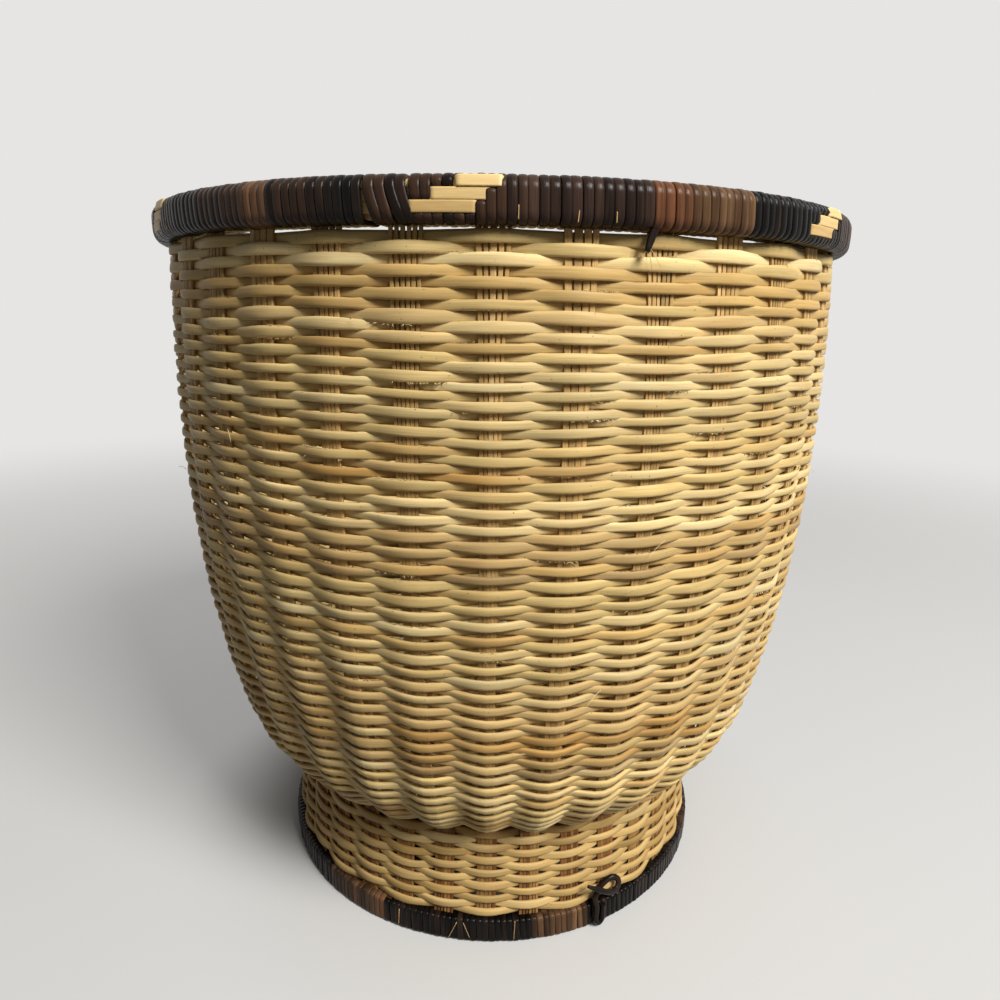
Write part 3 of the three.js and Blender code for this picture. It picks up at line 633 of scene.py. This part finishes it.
# Light slips of the rim's ornament
# Three flat slips of pale cane lie round the outer hoop, under the dark binding. In each stepped window they
# pass over the binding instead, and the windows of the three are set off from each other like stairs. The
# upper one is tucked under the binding's rounded top, and is narrower there.
SLIP_HEIGHT = 3.55 * mm
SLIP_PITCH = 3.6 * mm
SLIP_LIFT = 1.2 * mm  # of the middle slip over the middle of its place, up to the rim's rounded top
SLIP_THICKNESS = 1.1 * mm
SLIP_STEPS = 1600
SLIP_RISE = 1.85 * mm
SLIP_RAMP = (1.2 * mm, 0.4 * mm)  # it rises from the first before the window's edge to the second inside
WINDOW_CENTRES = (-4.5, 49, 98, 147, 196, 249, 302)  # degrees
SLIPS = {  # span in degrees from a window's centre, tilt, tuck under the binding, and tone
    "pattern_slip_lower": ((-5.6, 1.6), -0.06, 0, "c9a76c"),
    "pattern_slip_middle": ((-3.15, 3.15), 0.03, 0, "d9b97c"),
    "pattern_slip_upper": ((-0.4, 4.4), 0.3, 1.4 * mm, "dcbd80"),
}


def inside_windows(span, angle, radius, before, after):
    """How far an angle lies in a window of a slip: 0 outside, 1 inside, with a ramp at each edge."""
    share = np.zeros(len(angle))
    for centre in WINDOW_CENTRES:
        start, end = (math.radians(centre + edge) for edge in span)
        off = (angle - (start + end) / 2 + math.pi) % (2 * math.pi) - math.pi
        depth = ((end - start) / 2 - np.abs(off)) * radius
        share = np.maximum(share, eased(depth, -before, after))
    return share


pale_slip = fibre_finish(
    "pale_slip", roughness=0.48, gloss=0.3, fibre=0.09, tone=0.08, stain="8a6231", stain_share=0.3,
    specks=0.04, relief=0.3,
)
slip_windows = []  # span and height of each
middle_low, middle_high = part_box("pattern_slip_middle")
middle_place = (middle_low.z + middle_high.z) / 2 + SLIP_LIFT
slip_radius = (middle_high.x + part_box("rim_outer_hoop")[1].x) / 2
turn = np.linspace(0, 2 * math.pi, SLIP_STEPS + 1)
face = outward(turn)
for number, (node, (span, tilt, full_tuck, tone)) in enumerate(SLIPS.items()):
    height = middle_place + (number - 1) * SLIP_PITCH
    slip_windows.append((span, height))
    inside = inside_windows(span, turn, slip_radius, *SLIP_RAMP)
    tuck = full_tuck * (1 - inside)
    path = face * (slip_radius + SLIP_RISE * inside)[:, None]
    path[:, 2] = height - tuck / 2
    tilted = face + (0, 0, tilt)
    body = strand(path, tilted, SLIP_HEIGHT - tuck, SLIP_THICKNESS, STRIP_SECTION, colour(tone))
    slip = lay(node.replace("pattern_slip", "pale_slip"), [body], pale_slip)
    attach(slip, "root")
    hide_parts(node)

# Rim binding
# Dyed cane bound tightly round hoops and stakes in over 300 turns, one beside the other. Each new length
# of cane has its own brown or black. On the left of the front the turns lean, and two gaps are left open.
RIM_HALF_WIDTH = 7.1 * mm
RIM_THICKNESS = 1.3 * mm
RIM_TOP_ROUNDING = 4.2 * mm
RIM_LOW_ROUNDING = 3.8 * mm
RIM_BULGE = 0.5 * mm  # of the outer side, halfway up
RIM_TURN = 3.3 * mm
TURN_UNEVENNESS = 0.09
TURN_SINK = 0.22 * mm  # at most
TINT_SPREAD = (0.55, 1.35)
WINDOW_DROP = 2.2 * mm
WINDOW_MARGIN = 0.7 * mm  # above and below a slip, in which the turns sink in to pass under it
LEAN_GROWTH = 1.6
FACE_STEPS, HIDDEN_STEPS, CORNER_STEPS = 12, 2, 4
RIM_GAPS = {-15.6: 0.8 * mm, -11.2: 1.2 * mm}  # angle in degrees and width
RIM_LEAN = (  # angle in degrees, and millimetres by which a turn's lower end lies ahead of its upper one
    (-60, 1.2), (-30, 0.9), (-15.8, 0.6), (-15.4, 3.4), (-11.2, 3.4), (-10.4, 2.4), (-9, 0.5), (0, 0.2),
    (30, 0.8), (60, 1.5),
)
DYED = {
    "black": ("0b0807", "0f0b09", "080605", "140f0c"),
    "dark": ("2a1b12", "322117", "20150f", "3a281c"),
    "plum": ("33241d", "2b1e18", "3d2c23", "241914"),
    "brown": ("48311f", "533c27", "3c291b", "5b412c"),
    "red": ("643f28", "71492c", "553420", "7c5336"),
    "tan": ("7a5436", "6d4a2f"),
}
RIM_RUNS = (  # the angle in degrees where a run of like turns ends, and its dye
    (-43, "black"), (-31.6, "dark"), (-30.4, "tan"), (-28.9, "brown"), (-21.6, "dark"), (-15.5, "black"),
    (0, "dark"), (16.2, "plum"), (22, "red"), (31.1, "brown"), (54, "black"), (71, "dark"), (96, "black"),
    (112, "brown"), (131, "plum"), (160, "black"), (174, "red"), (198, "dark"), (221, "black"),
    (236, "brown"), (262, "plum"), (284, "black"), (291, "red"), (317, "black"),
)
CANE_SECTION = np.array([
    (-1, -0.9), (1, -0.9), (1, 0.1), (0.93, 0.5), (0.62, 0.86), (0, 1), (-0.62, 0.86), (-0.93, 0.5),
    (-1, 0.1),
])


def roll_outline(half_width, low, high, rounding_low, rounding_high, bulge, thickness):
    """The middle of the cane in a bound edge's section, from its outer top round the outside, underneath and
    back up the inside: how far out each point is with its height, the direction out there, and the number of
    points on the outer side, which bulges in the middle."""
    inset = thickness / 2
    half_width, low, high = half_width - inset, low + inset, high - inset
    rounding_low, rounding_high = rounding_low - inset, rounding_high - inset
    corners = [(half_width, high, rounding_high, 90), (half_width, low, rounding_low, 0),
               (-half_width, low, rounding_low, -90), (-half_width, high, rounding_high, -180)]
    arcs = []
    for out, height, rounding, start in corners:
        turn = np.radians(start - np.linspace(0, 90, CORNER_STEPS + 1))
        direction = np.column_stack([np.cos(turn), np.sin(turn)])
        inward = rounding if height == low else -rounding
        centre = (out - math.copysign(rounding, out), height + inward)
        arcs.append((centre + rounding * direction, direction))
    pieces, directions = [], []
    for number, steps in enumerate((FACE_STEPS, HIDDEN_STEPS, 2 * HIDDEN_STEPS, HIDDEN_STEPS)):
        points, turned = arcs[number]
        share = np.linspace(0, 1, steps + 1)[1:-1, None]
        after = arcs[(number + 1) % 4][0][0]
        pieces += [points, points[-1] + (after - points[-1]) * share]
        directions += [turned, np.tile(turned[-1], (len(share), 1))]
    outer = 2 * (CORNER_STEPS + 1) + FACE_STEPS - 1
    points, directions = np.concatenate(pieces), np.concatenate(directions)
    off_middle = (2 * points[:outer, 1] - low - high) / (high - low)
    points[:outer, 0] += bulge * (1 - off_middle**2)
    directions[:outer, 1] += directions[:outer, 0] * 4 * bulge * off_middle / (high - low)
    return points, unit(directions), outer


def bind(radius, outline, turn_starts, widths, leans, tints, sinks, thickness):
    """Cane wound round a ring. Each turn starts at its angle on top, and its lower end lies ahead by its
    lean. Widths and tints are one for each turn. The sinks are how far each point of each turn is pressed
    in."""
    points, directions, outer = outline
    turns, count = len(turn_starts) - 1, len(points)
    face_share = np.linspace(0, 1, outer) ** LEAN_GROWTH
    hidden_share = np.linspace(0, 1, count - outer + 2)[1:-1]
    pitch = np.diff(turn_starts)
    leaning = np.minimum(leans / radius, 4 * pitch)[:, None]
    ahead = np.hstack([leaning * face_share, leaning + (pitch[:, None] - leaning) * hidden_share])
    angle = (turn_starts[:-1, None] + ahead).ravel()
    normal = np.tile(directions, (turns, 1))
    place = np.tile(points, (turns, 1)) - normal * sinks.ravel()[:, None] + (radius, 0)
    path, face = round_points(angle, place), round_points(angle, normal)
    return strand(
        path, face, np.repeat(widths, count), thickness, CANE_SECTION, np.repeat(tints, count, axis=0)
    )


def turn_places(radius, pitch, gaps, start, rng):
    """Angles at which the turns of a binding start, once round, and the turns' widths, each a little wider
    or narrower than the next. The turn at each of the gaps' angles is followed by the gap."""
    length = 2 * math.pi * radius - sum(gaps.values())
    widths = rng.uniform(1 - TURN_UNEVENNESS, 1 + TURN_UNEVENNESS, round(length / pitch))
    widths *= length / widths.sum()
    starts = start + np.concatenate([[0], np.cumsum(widths)]) / radius
    for angle, width in gaps.items():
        starts = starts + np.where(starts > math.radians(angle), width / radius, 0)
    return starts, widths


def run_tints(starts, runs, rng):
    """The colour of each turn, from the dye of the run that it lies in."""
    tints = []
    ends = [math.radians(end) for end, dye in runs]
    for angle in starts[:-1]:
        dye = runs[min(np.searchsorted(ends, angle), len(runs) - 1)][1]
        tints.append(colour(rng.choice(DYED[dye])) * rng.uniform(*TINT_SPREAD))
    return np.array(tints)


dyed_cane = fibre_finish(
    "dyed_cane", roughness=0.28, gloss=0.1, fibre=0.35, tone=0.3, stain="5e4634", stain_share=0.25,
    specks=0.0, relief=0.6,
)
rng = np.random.default_rng(335)
rim_low, rim_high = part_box("rim_binding")
rim_radius = rim_high.x - RIM_HALF_WIDTH
rim_outline = roll_outline(
    RIM_HALF_WIDTH, rim_low.z, rim_high.z, RIM_LOW_ROUNDING, RIM_TOP_ROUNDING, RIM_BULGE, RIM_THICKNESS
)
starts, widths = turn_places(rim_high.x, RIM_TURN, RIM_GAPS, math.radians(-43), rng)
lean_angles, lean_sizes = np.array(RIM_LEAN).T
front = (np.degrees(starts[:-1]) + 180) % 360 - 180
leans = np.interp(front, lean_angles, lean_sizes * mm) * rng.uniform(0.85, 1.15, len(front))
sinks = np.zeros((len(front), len(rim_outline[0])))
middles = (starts[:-1] + starts[1:]) / 2
for span, height in slip_windows:
    under = inside_windows(span, middles, rim_high.x, 0, 0.1 * mm)[:, None]
    off_slip = np.abs(rim_outline[0][:, 1] - height) - SLIP_HEIGHT / 2
    near = eased(-off_slip, -WINDOW_MARGIN, 0)
    sinks = np.maximum(sinks, under * near * (rim_outline[1][:, 0] > 0.7) * WINDOW_DROP)
tints = run_tints(starts, RIM_RUNS, rng)
sinks += rng.uniform(0, TURN_SINK, len(front))[:, None]
rim_turns = bind(rim_radius, rim_outline, starts, widths, leans, tints, sinks, RIM_THICKNESS)
rim_cane = lay("rim_cane", [rim_turns], dyed_cane)
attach(rim_cane, "root")
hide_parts("rim_binding")

# Loose end of the rim's cane
# One length of the rim's dyed cane ends under the binding, where the turns hold it. It sticks out below
# them as a short stub, frayed into a few pale fibres.
STUB_ANGLE = math.radians(17.5)
STUB_WIDTH = 2.6 * mm
STUB_THICKNESS = 1.1 * mm
FRAY_LENGTHS = (7 * mm, 11 * mm, 5 * mm, 8 * mm)
FRAY_ENDS = (0.3 * mm, 0.12 * mm)  # thickness where a fibre starts and ends
FIBRE_SECTION = np.array([(-1, 0), (0, -1), (1, 0), (0, 1)])

stub_low, stub_high = (corner.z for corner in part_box("rim_binding_end"))
stub_side, stub_out = sideways(STUB_ANGLE), outward(STUB_ANGLE)
stub_face = rim_high.x - RIM_THICKNESS


def stub_point(along, out, height):
    return stub_side * along + stub_out * (stub_face + out) + (0, 0, height)


def loose_fibre(start, push, droop, face, ends, tone, count=6):
    """A fibre from a start along a push, bending over towards droop at its end, and tapering from the first
    to the second of the ends' thicknesses."""
    share = np.linspace(0, 1, count)[:, None]
    path = np.array(start) + np.array(push) * share + np.array(droop) * share**2
    thin = np.linspace(*ends, count)
    return strand(path, face, thin, thin, FIBRE_SECTION, tone)


stub_path = curve_through(
    stub_point(0.2 * mm, -0.8 * mm, stub_high + 2 * mm), stub_point(-0.4 * mm, -0.6 * mm, stub_high),
    stub_point(-1.4 * mm, -0.8 * mm, stub_high - 2 * mm), stub_point(-2.8 * mm, -0.2 * mm, stub_low), 8
)
stub_widths = STUB_WIDTH * np.array([1, 1, 1, 1, 0.95, 0.9, 0.8, 0.55])
stub = [strand(stub_path, stub_out, stub_widths, STUB_THICKNESS, CANE_SECTION, colour("1d130d"))]
rng = np.random.default_rng(17)
for length in FRAY_LENGTHS:
    push = stub_side * rng.uniform(-0.9, 0.9) * length - (0, 0, 0.6 * length) + stub_out * 0.1 * length
    droop = (0, 0, 0.4 * length * rng.uniform(-1, 1))
    stub.append(loose_fibre(stub_path[-2], push, droop, stub_out, FRAY_ENDS, colour("c9ab72")))
rim_stub = lay("rim_stub", stub, dyed_cane)
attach(rim_stub, "root")
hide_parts("rim_binding_end")

# Foot binding
# The foot's lower edge is bound in the same way with dark cane, in about 250 turns. The cane's ends are
# tucked in, and a pale fibre or two is caught between the turns.
FOOT_HALF_WIDTH = 4.2 * mm
FOOT_BINDING_THICKNESS = 1.2 * mm
FOOT_ROUNDING = 1.8 * mm
FOOT_TURN = 2.9 * mm
FOOT_TURN_LEAN = 0.7 * mm
FOOT_TURN_SINK = 0.25 * mm  # at most
FOOT_RUNS = (
    (-44.7, "black"), (-27.3, "brown"), (-25.9, "tan"), (9.2, "black"), (24.2, "brown"), (64, "black"),
    (88, "dark"), (121, "black"), (138, "brown"), (177, "black"), (204, "dark"), (239, "black"),
    (262, "brown"), (300, "black"),
)

rng = np.random.default_rng(249)
edge_low, edge_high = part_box("foot_binding")
foot_outline = roll_outline(
    FOOT_HALF_WIDTH, edge_low.z, edge_high.z, FOOT_ROUNDING, FOOT_ROUNDING, 0, FOOT_BINDING_THICKNESS
)
starts, widths = turn_places(edge_high.x, FOOT_TURN, {}, math.radians(-60), rng)
turns = len(starts) - 1
leans = FOOT_TURN_LEAN * rng.uniform(0.4, 1.6, turns)
sinks = np.tile(rng.uniform(0, FOOT_TURN_SINK, turns)[:, None], (1, len(foot_outline[0])))
tints = run_tints(starts, FOOT_RUNS, rng)
foot_turns = bind(
    FOOT_RADIUS, foot_outline, starts, widths, leans, tints, sinks, FOOT_BINDING_THICKNESS
)
foot_edge = lay("foot_edge_cane", [foot_turns], dyed_cane)
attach(foot_edge, "root")
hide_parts("foot_binding")

# Knot on the foot
# Where the foot's cane starts and ends it makes two raised turns over the binding, curls over above them and
# runs out in a loose tail.
KNOT_ANGLE = math.radians(26.5)
KNOT_CANE = 2.6 * mm
KNOT_TURN_GAP = 0.8 * mm
KNOT_LIFT = 0.3 * mm
KNOT_CURL = (  # along the binding, out from the turns and up from the binding's top, in millimetres
    (-2.2, -1.2, 3.6), (1, -2.4, 7.6), (5.6, -2.4, 10.6), (9, -2, 10.9), (11, -1.2, 8.4), (9.4, -0.3, 5.8),
    (6, 0.8, 5.9), (2.2, 1.4, 7.8), (-3, 1.4, 11.2), (-8, 1, 14.4),
)

knot_face = FOOT_RADIUS + FOOT_HALF_WIDTH + KNOT_LIFT + KNOT_CANE / 2
knot_side, knot_out = sideways(KNOT_ANGLE), outward(KNOT_ANGLE)
half = (KNOT_CANE + KNOT_TURN_GAP) / 2
top = edge_high.z
knot_route = [
    (half, 0, top), (half, 0, top / 2), (half, 0, KNOT_CANE + half), (0, 0, KNOT_CANE),
    (-half, 0, KNOT_CANE + half), (-half, 0, top / 2), (-half, 0, top),
    *((along * mm, out * mm, top + up * mm) for along, out, up in KNOT_CURL),
]


def smooth_line(points, steps):
    """A smooth line through points, with so many steps between each two."""
    points = np.array(points, dtype=float)
    ends = np.vstack([2 * points[0] - points[1], points, 2 * points[-1] - points[-2]])
    share = np.arange(steps)[:, None] / steps
    line = []
    for before, first, second, after in zip(ends, ends[1:], ends[2:], ends[3:]):
        line.append(0.5 * (2 * first + (second - before) * share
                           + (2 * before - 5 * first + 4 * second - after) * share**2
                           + (3 * first - before - 3 * second + after) * share**3))
    return np.vstack([*line, points[-1:]])


knot_line = smooth_line(knot_route, 6)
knot_path = knot_side * knot_line[:, :1] + knot_out * (knot_face + knot_line[:, 1:2])
knot_path[:, 2] = knot_line[:, 2]
knot_taper = np.interp(np.arange(len(knot_path)), (0, len(knot_path) - 8, len(knot_path)), (1, 1, 0.5))
knot_width = 1.12 * KNOT_CANE * knot_taper
knot_body = strand(knot_path, knot_out, knot_width, 0.8 * knot_width, ROUND_SECTION, colour("100c0a"))
knot = lay("foot_knot_cane", [knot_body], dyed_cane)
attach(knot, "root")
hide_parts("foot_knot")

# Loose fibres
# Splitting leaves a fringe of fine fibres along some edges of the weavers, and a few longer hairs stand off
# the wall. Thin pale fibres are also caught between the turns of both bindings.
FRINGES = 260
FRINGE_FIBRES = (12, 36)
FRINGE_LENGTHS = (0.5 * mm, 1.7 * mm)
FRINGE_REACH = 4  # steps of a weaver to each side of a stake
FRINGE_SPREAD = 1.1  # steps
FRINGE_ENDS = (0.26 * mm, 0.1 * mm)  # thickness where a fibre starts and ends
HAIR_ENDS = (0.24 * mm, 0.1 * mm)
HAIR_OUT = 2.4 * mm  # from the middle of the wall
EDGE_CORNERS = (4, 9)  # of a weaver's section: its lower and its upper edge
HAIRS = (  # angle in degrees, height and length in millimetres
    (-67, 211, 10), (-75, 103, 12), (22.5, 207, 11), (19.5, 189, 8), (15.5, 148, 9), (-18, 281, 7),
    (-40, 240, 6), (48, 170, 7), (70, 215, 8), (100, 190, 9), (150, 230, 8), (-110, 160, 10),
    (-150, 205, 7), (5, 120, 6),
)
CAUGHT = (  # on rim or foot, angle in degrees, and lowest place, highest place and lean in millimetres
    ("rim", 1.7, 310.9, 315, 0), ("rim", 8.1, 310.5, 314, 0.3), ("rim", 12.4, 310.8, 314, 0),
    ("foot", -9.6, 1.5, 11, 4), ("foot", -4.6, 3, 11, -3), ("foot", 5.6, 2, 12.4, 0.3),
    ("foot", -22, 2, 11, 0.5), ("rim", -52, 311, 316, 0),
)
CAUGHT_WIDTH = 0.4 * mm
CAUGHT_THICKNESS = 0.25 * mm
FIBRE_TONES = ("d8c08c", "c4a468", "a07a42", "e2cfa0")

rng = np.random.default_rng(2000)
fibres = []
wall_weavers = [(body[0], over) for middle, body, over in bowl_weavers if middle > turn_end]
for _ in range(FRINGES):
    points, over = wall_weavers[rng.integers(len(wall_weavers))]
    crests = np.flatnonzero(over[FRINGE_REACH:-FRINGE_REACH] > 0.99) + FRINGE_REACH
    if not len(crests):
        continue
    corner = rng.choice(EDGE_CORNERS)
    edge = points[rng.choice(crests) + np.arange(-FRINGE_REACH, FRINGE_REACH + 1), corner]
    face = unit(edge[FRINGE_REACH] * (1, 1, 0))
    side = np.array([-face[1], face[0], 0])
    upward = np.array([0, 0, -1.0 if corner == EDGE_CORNERS[0] else 1.0])
    middle = rng.uniform(1, 2 * FRINGE_REACH - 1)
    tone = colour(rng.choice(FIBRE_TONES))
    places = rng.normal(middle, FRINGE_SPREAD, rng.integers(*FRINGE_FIBRES)).clip(0, 2 * FRINGE_REACH)
    for place in places:
        start = values_at(place, np.arange(len(edge)), edge)
        length = rng.uniform(*FRINGE_LENGTHS)
        push = face * rng.uniform(0, 0.6) + upward * rng.uniform(0.1, 0.6) + side * rng.uniform(-1, 1)
        droop = side * rng.uniform(-0.3, 0.3) * length
        fibres.append(loose_fibre(start, push * length, droop, face, FRINGE_ENDS, tone, 3))
for angle, height, length in HAIRS:
    length *= mm
    along = np.interp(height * mm, bowl.line[:, 1], bowl.along)
    (start,), (face,) = bowl.at(np.radians([angle]), np.array([along]), HAIR_OUT)
    side = np.array([-face[1], face[0], 0])
    push = face * rng.uniform(0.1, 0.35) * length + side * rng.choice((-1, 1)) * 0.8 * length
    push += (0, 0, rng.uniform(-0.4, 0.4) * length)
    fibres.append(loose_fibre(start, push, (0, 0, -0.3 * length), face, HAIR_ENDS, colour("dcc694"), 9))
for edge, angle, low, high, lean in CAUGHT:
    radius = {"rim": rim_high.x + 0.5 * RIM_BULGE, "foot": edge_high.x}[edge]
    face = outward(math.radians(angle) + lean * mm * np.linspace(0, 1, 8) / radius)
    path = face * radius
    path[:, 2] = np.linspace(low * mm, high * mm, 8)
    fibres.append(strand(path, face, CAUGHT_WIDTH, CAUGHT_THICKNESS, FIBRE_SECTION, colour("b89562")))
loose = lay("loose_fibres", fibres, peeled_cane)
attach(loose, "root")

# Floor of the studio
# A wide sheet, which keeps the basket's shadow. Only the camera, and what mirrors or lets through its rays,
# sees it pale and turning into the light background, so neither lights the basket. The pale look is partly
# painted light: a glow of the background's colour, held off under the foot and about two fifths strong from
# 0.19 m out. It also lightens the basket's shadow there.
BACKGROUND = "e6e5e3"
SHEET_RADIUS = 6.0
FADE_PLACES = (0.1, 0.19, 0.5, 1.5)  # from the middle
# painted light: shares of a glow in the background's colour, which lightens the floor and the basket's shadow
# on it
PAINTED_GLOW_SHARES = (0, 0.38, 0.42, 1)  # of the background's colour there
SEEN_FLOOR, LIT_FLOOR = "cbc9c5", "6f6e6c"


def background_rays(tree):
    """1 for the rays that show the background: from the camera, and those mirrored or let through."""
    rays = add_node(tree, "ShaderNodeLightPath", {}).outputs
    mirrored = math_of(tree, "MAXIMUM", rays["Is Camera Ray"], rays["Is Glossy Ray"])
    return math_of(tree, "MAXIMUM", mirrored, rays["Is Transmission Ray"])


sheet_mesh = bpy.data.meshes.new("studio_floor")
corners = SHEET_RADIUS * outward(np.linspace(-math.pi, math.pi, 96, endpoint=False))
sheet_mesh.from_pydata(corners, [], [list(range(len(corners)))])
sheet = put("studio_floor", sheet_mesh)
sheet_finish = bpy.data.materials.new("studio_floor")
sheet_finish.use_nodes = True
tree = sheet_finish.node_tree
shader = tree.nodes["Principled BSDF"]
shader.inputs["Roughness"].default_value = 0.7
shader.inputs["Specular IOR Level"].default_value = 0.2
place = add_node(tree, "ShaderNodeTexCoord", {}).outputs["Object"]
far = add_node(tree, "ShaderNodeVectorMath", {0: place}, operation="LENGTH").outputs["Value"]
fade = PAINTED_GLOW_SHARES[0]
for start, end, before, after in zip(FADE_PLACES, FADE_PLACES[1:], PAINTED_GLOW_SHARES, PAINTED_GLOW_SHARES[1:]):
    step = add_node(tree, "ShaderNodeMapRange", {
        "Value": far, "From Min": start, "From Max": end, "To Min": 0.0, "To Max": after - before
    }, interpolation_type="SMOOTHSTEP").outputs[0]
    fade = math_of(tree, "ADD", step, fade)
bare = background_rays(tree)
seen_painted_glow = math_of(tree, "MULTIPLY", fade, bare)
floor_tones = {6: (*colour(LIT_FLOOR), 1), 7: (*colour(SEEN_FLOOR), 1)}
floor_colour = add_node(tree, "ShaderNodeMix", {0: bare, **floor_tones}, data_type="RGBA").outputs[2]
tree.links.new(floor_colour, shader.inputs["Base Color"])
glow = add_node(tree, "ShaderNodeEmission", {"Color": (*colour(BACKGROUND), 1), "Strength": 1.0}).outputs[0]
# the painted glow, mixed over the lit floor
blend = add_node(tree, "ShaderNodeMixShader", {0: seen_painted_glow, 1: shader.outputs[0], 2: glow}).outputs[0]
tree.links.new(blend, tree.nodes["Material Output"].inputs["Surface"])
sheet_mesh.materials.append(sheet_finish)
sheet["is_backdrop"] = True

# Light
# A soft lamp from the upper right of the front, as in the photo, over an even fill from all round.
FILL = 0.06
LAMP_PLACE = (0.95, -1.15, 1.5)
LAMP_SIZE = 0.7
LAMP_POWER = 63

world = bpy.data.worlds.new("studio")
bpy.context.scene.world = world
world.use_nodes = True
tree = world.node_tree
fill = tree.nodes["Background"]
fill.inputs["Color"].default_value = (1, 1, 1, 1)
fill.inputs["Strength"].default_value = FILL
seen = add_node(tree, "ShaderNodeBackground", {"Color": (*colour(BACKGROUND), 1), "Strength": 1.0}).outputs[0]
mix = add_node(
    tree, "ShaderNodeMixShader", {0: background_rays(tree), 1: fill.outputs[0], 2: seen}
).outputs[0]
tree.links.new(mix, tree.nodes["World Output"].inputs["Surface"])
lamp = bpy.data.lights.new("key", "AREA")
lamp.energy = LAMP_POWER
lamp.size = LAMP_SIZE
lamp_object = put("key", lamp)
middle_height = (cad_low.z + cad_high.z) / 2
lamp_object.location = LAMP_PLACE
aim = Vector((0, 0, middle_height)) - lamp_object.location
lamp_object.rotation_euler = aim.to_track_quat("-Z", "Y").to_euler()
bpy.context.scene.view_settings.view_transform = "Standard"

# Camera
# It stands close in front, a little below the rim, and looks down by some 15 degrees.
CAMERA_PLACE = (0, -390.8 * mm, 285.2 * mm)
FOCAL_SHARE = 0.73  # of the picture's width
PITCH = math.radians(14.68)
YAW = math.radians(-0.22)
ROLL = math.radians(1.08)
SENSOR = 36

camera = bpy.data.cameras.new("camera")
camera.sensor_width = SENSOR
camera.lens = FOCAL_SHARE * SENSOR
camera.clip_start = 0.01
camera_object = put("camera", camera)
camera_object.matrix_world = (
    Matrix.Translation(CAMERA_PLACE) @ Matrix.Rotation(YAW, 4, "Z")
    @ Matrix.Rotation(math.pi / 2 - PITCH, 4, "X") @ Matrix.Rotation(ROLL, 4, "Z")
)
bpy.context.scene.camera = camera_object

low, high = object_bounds()
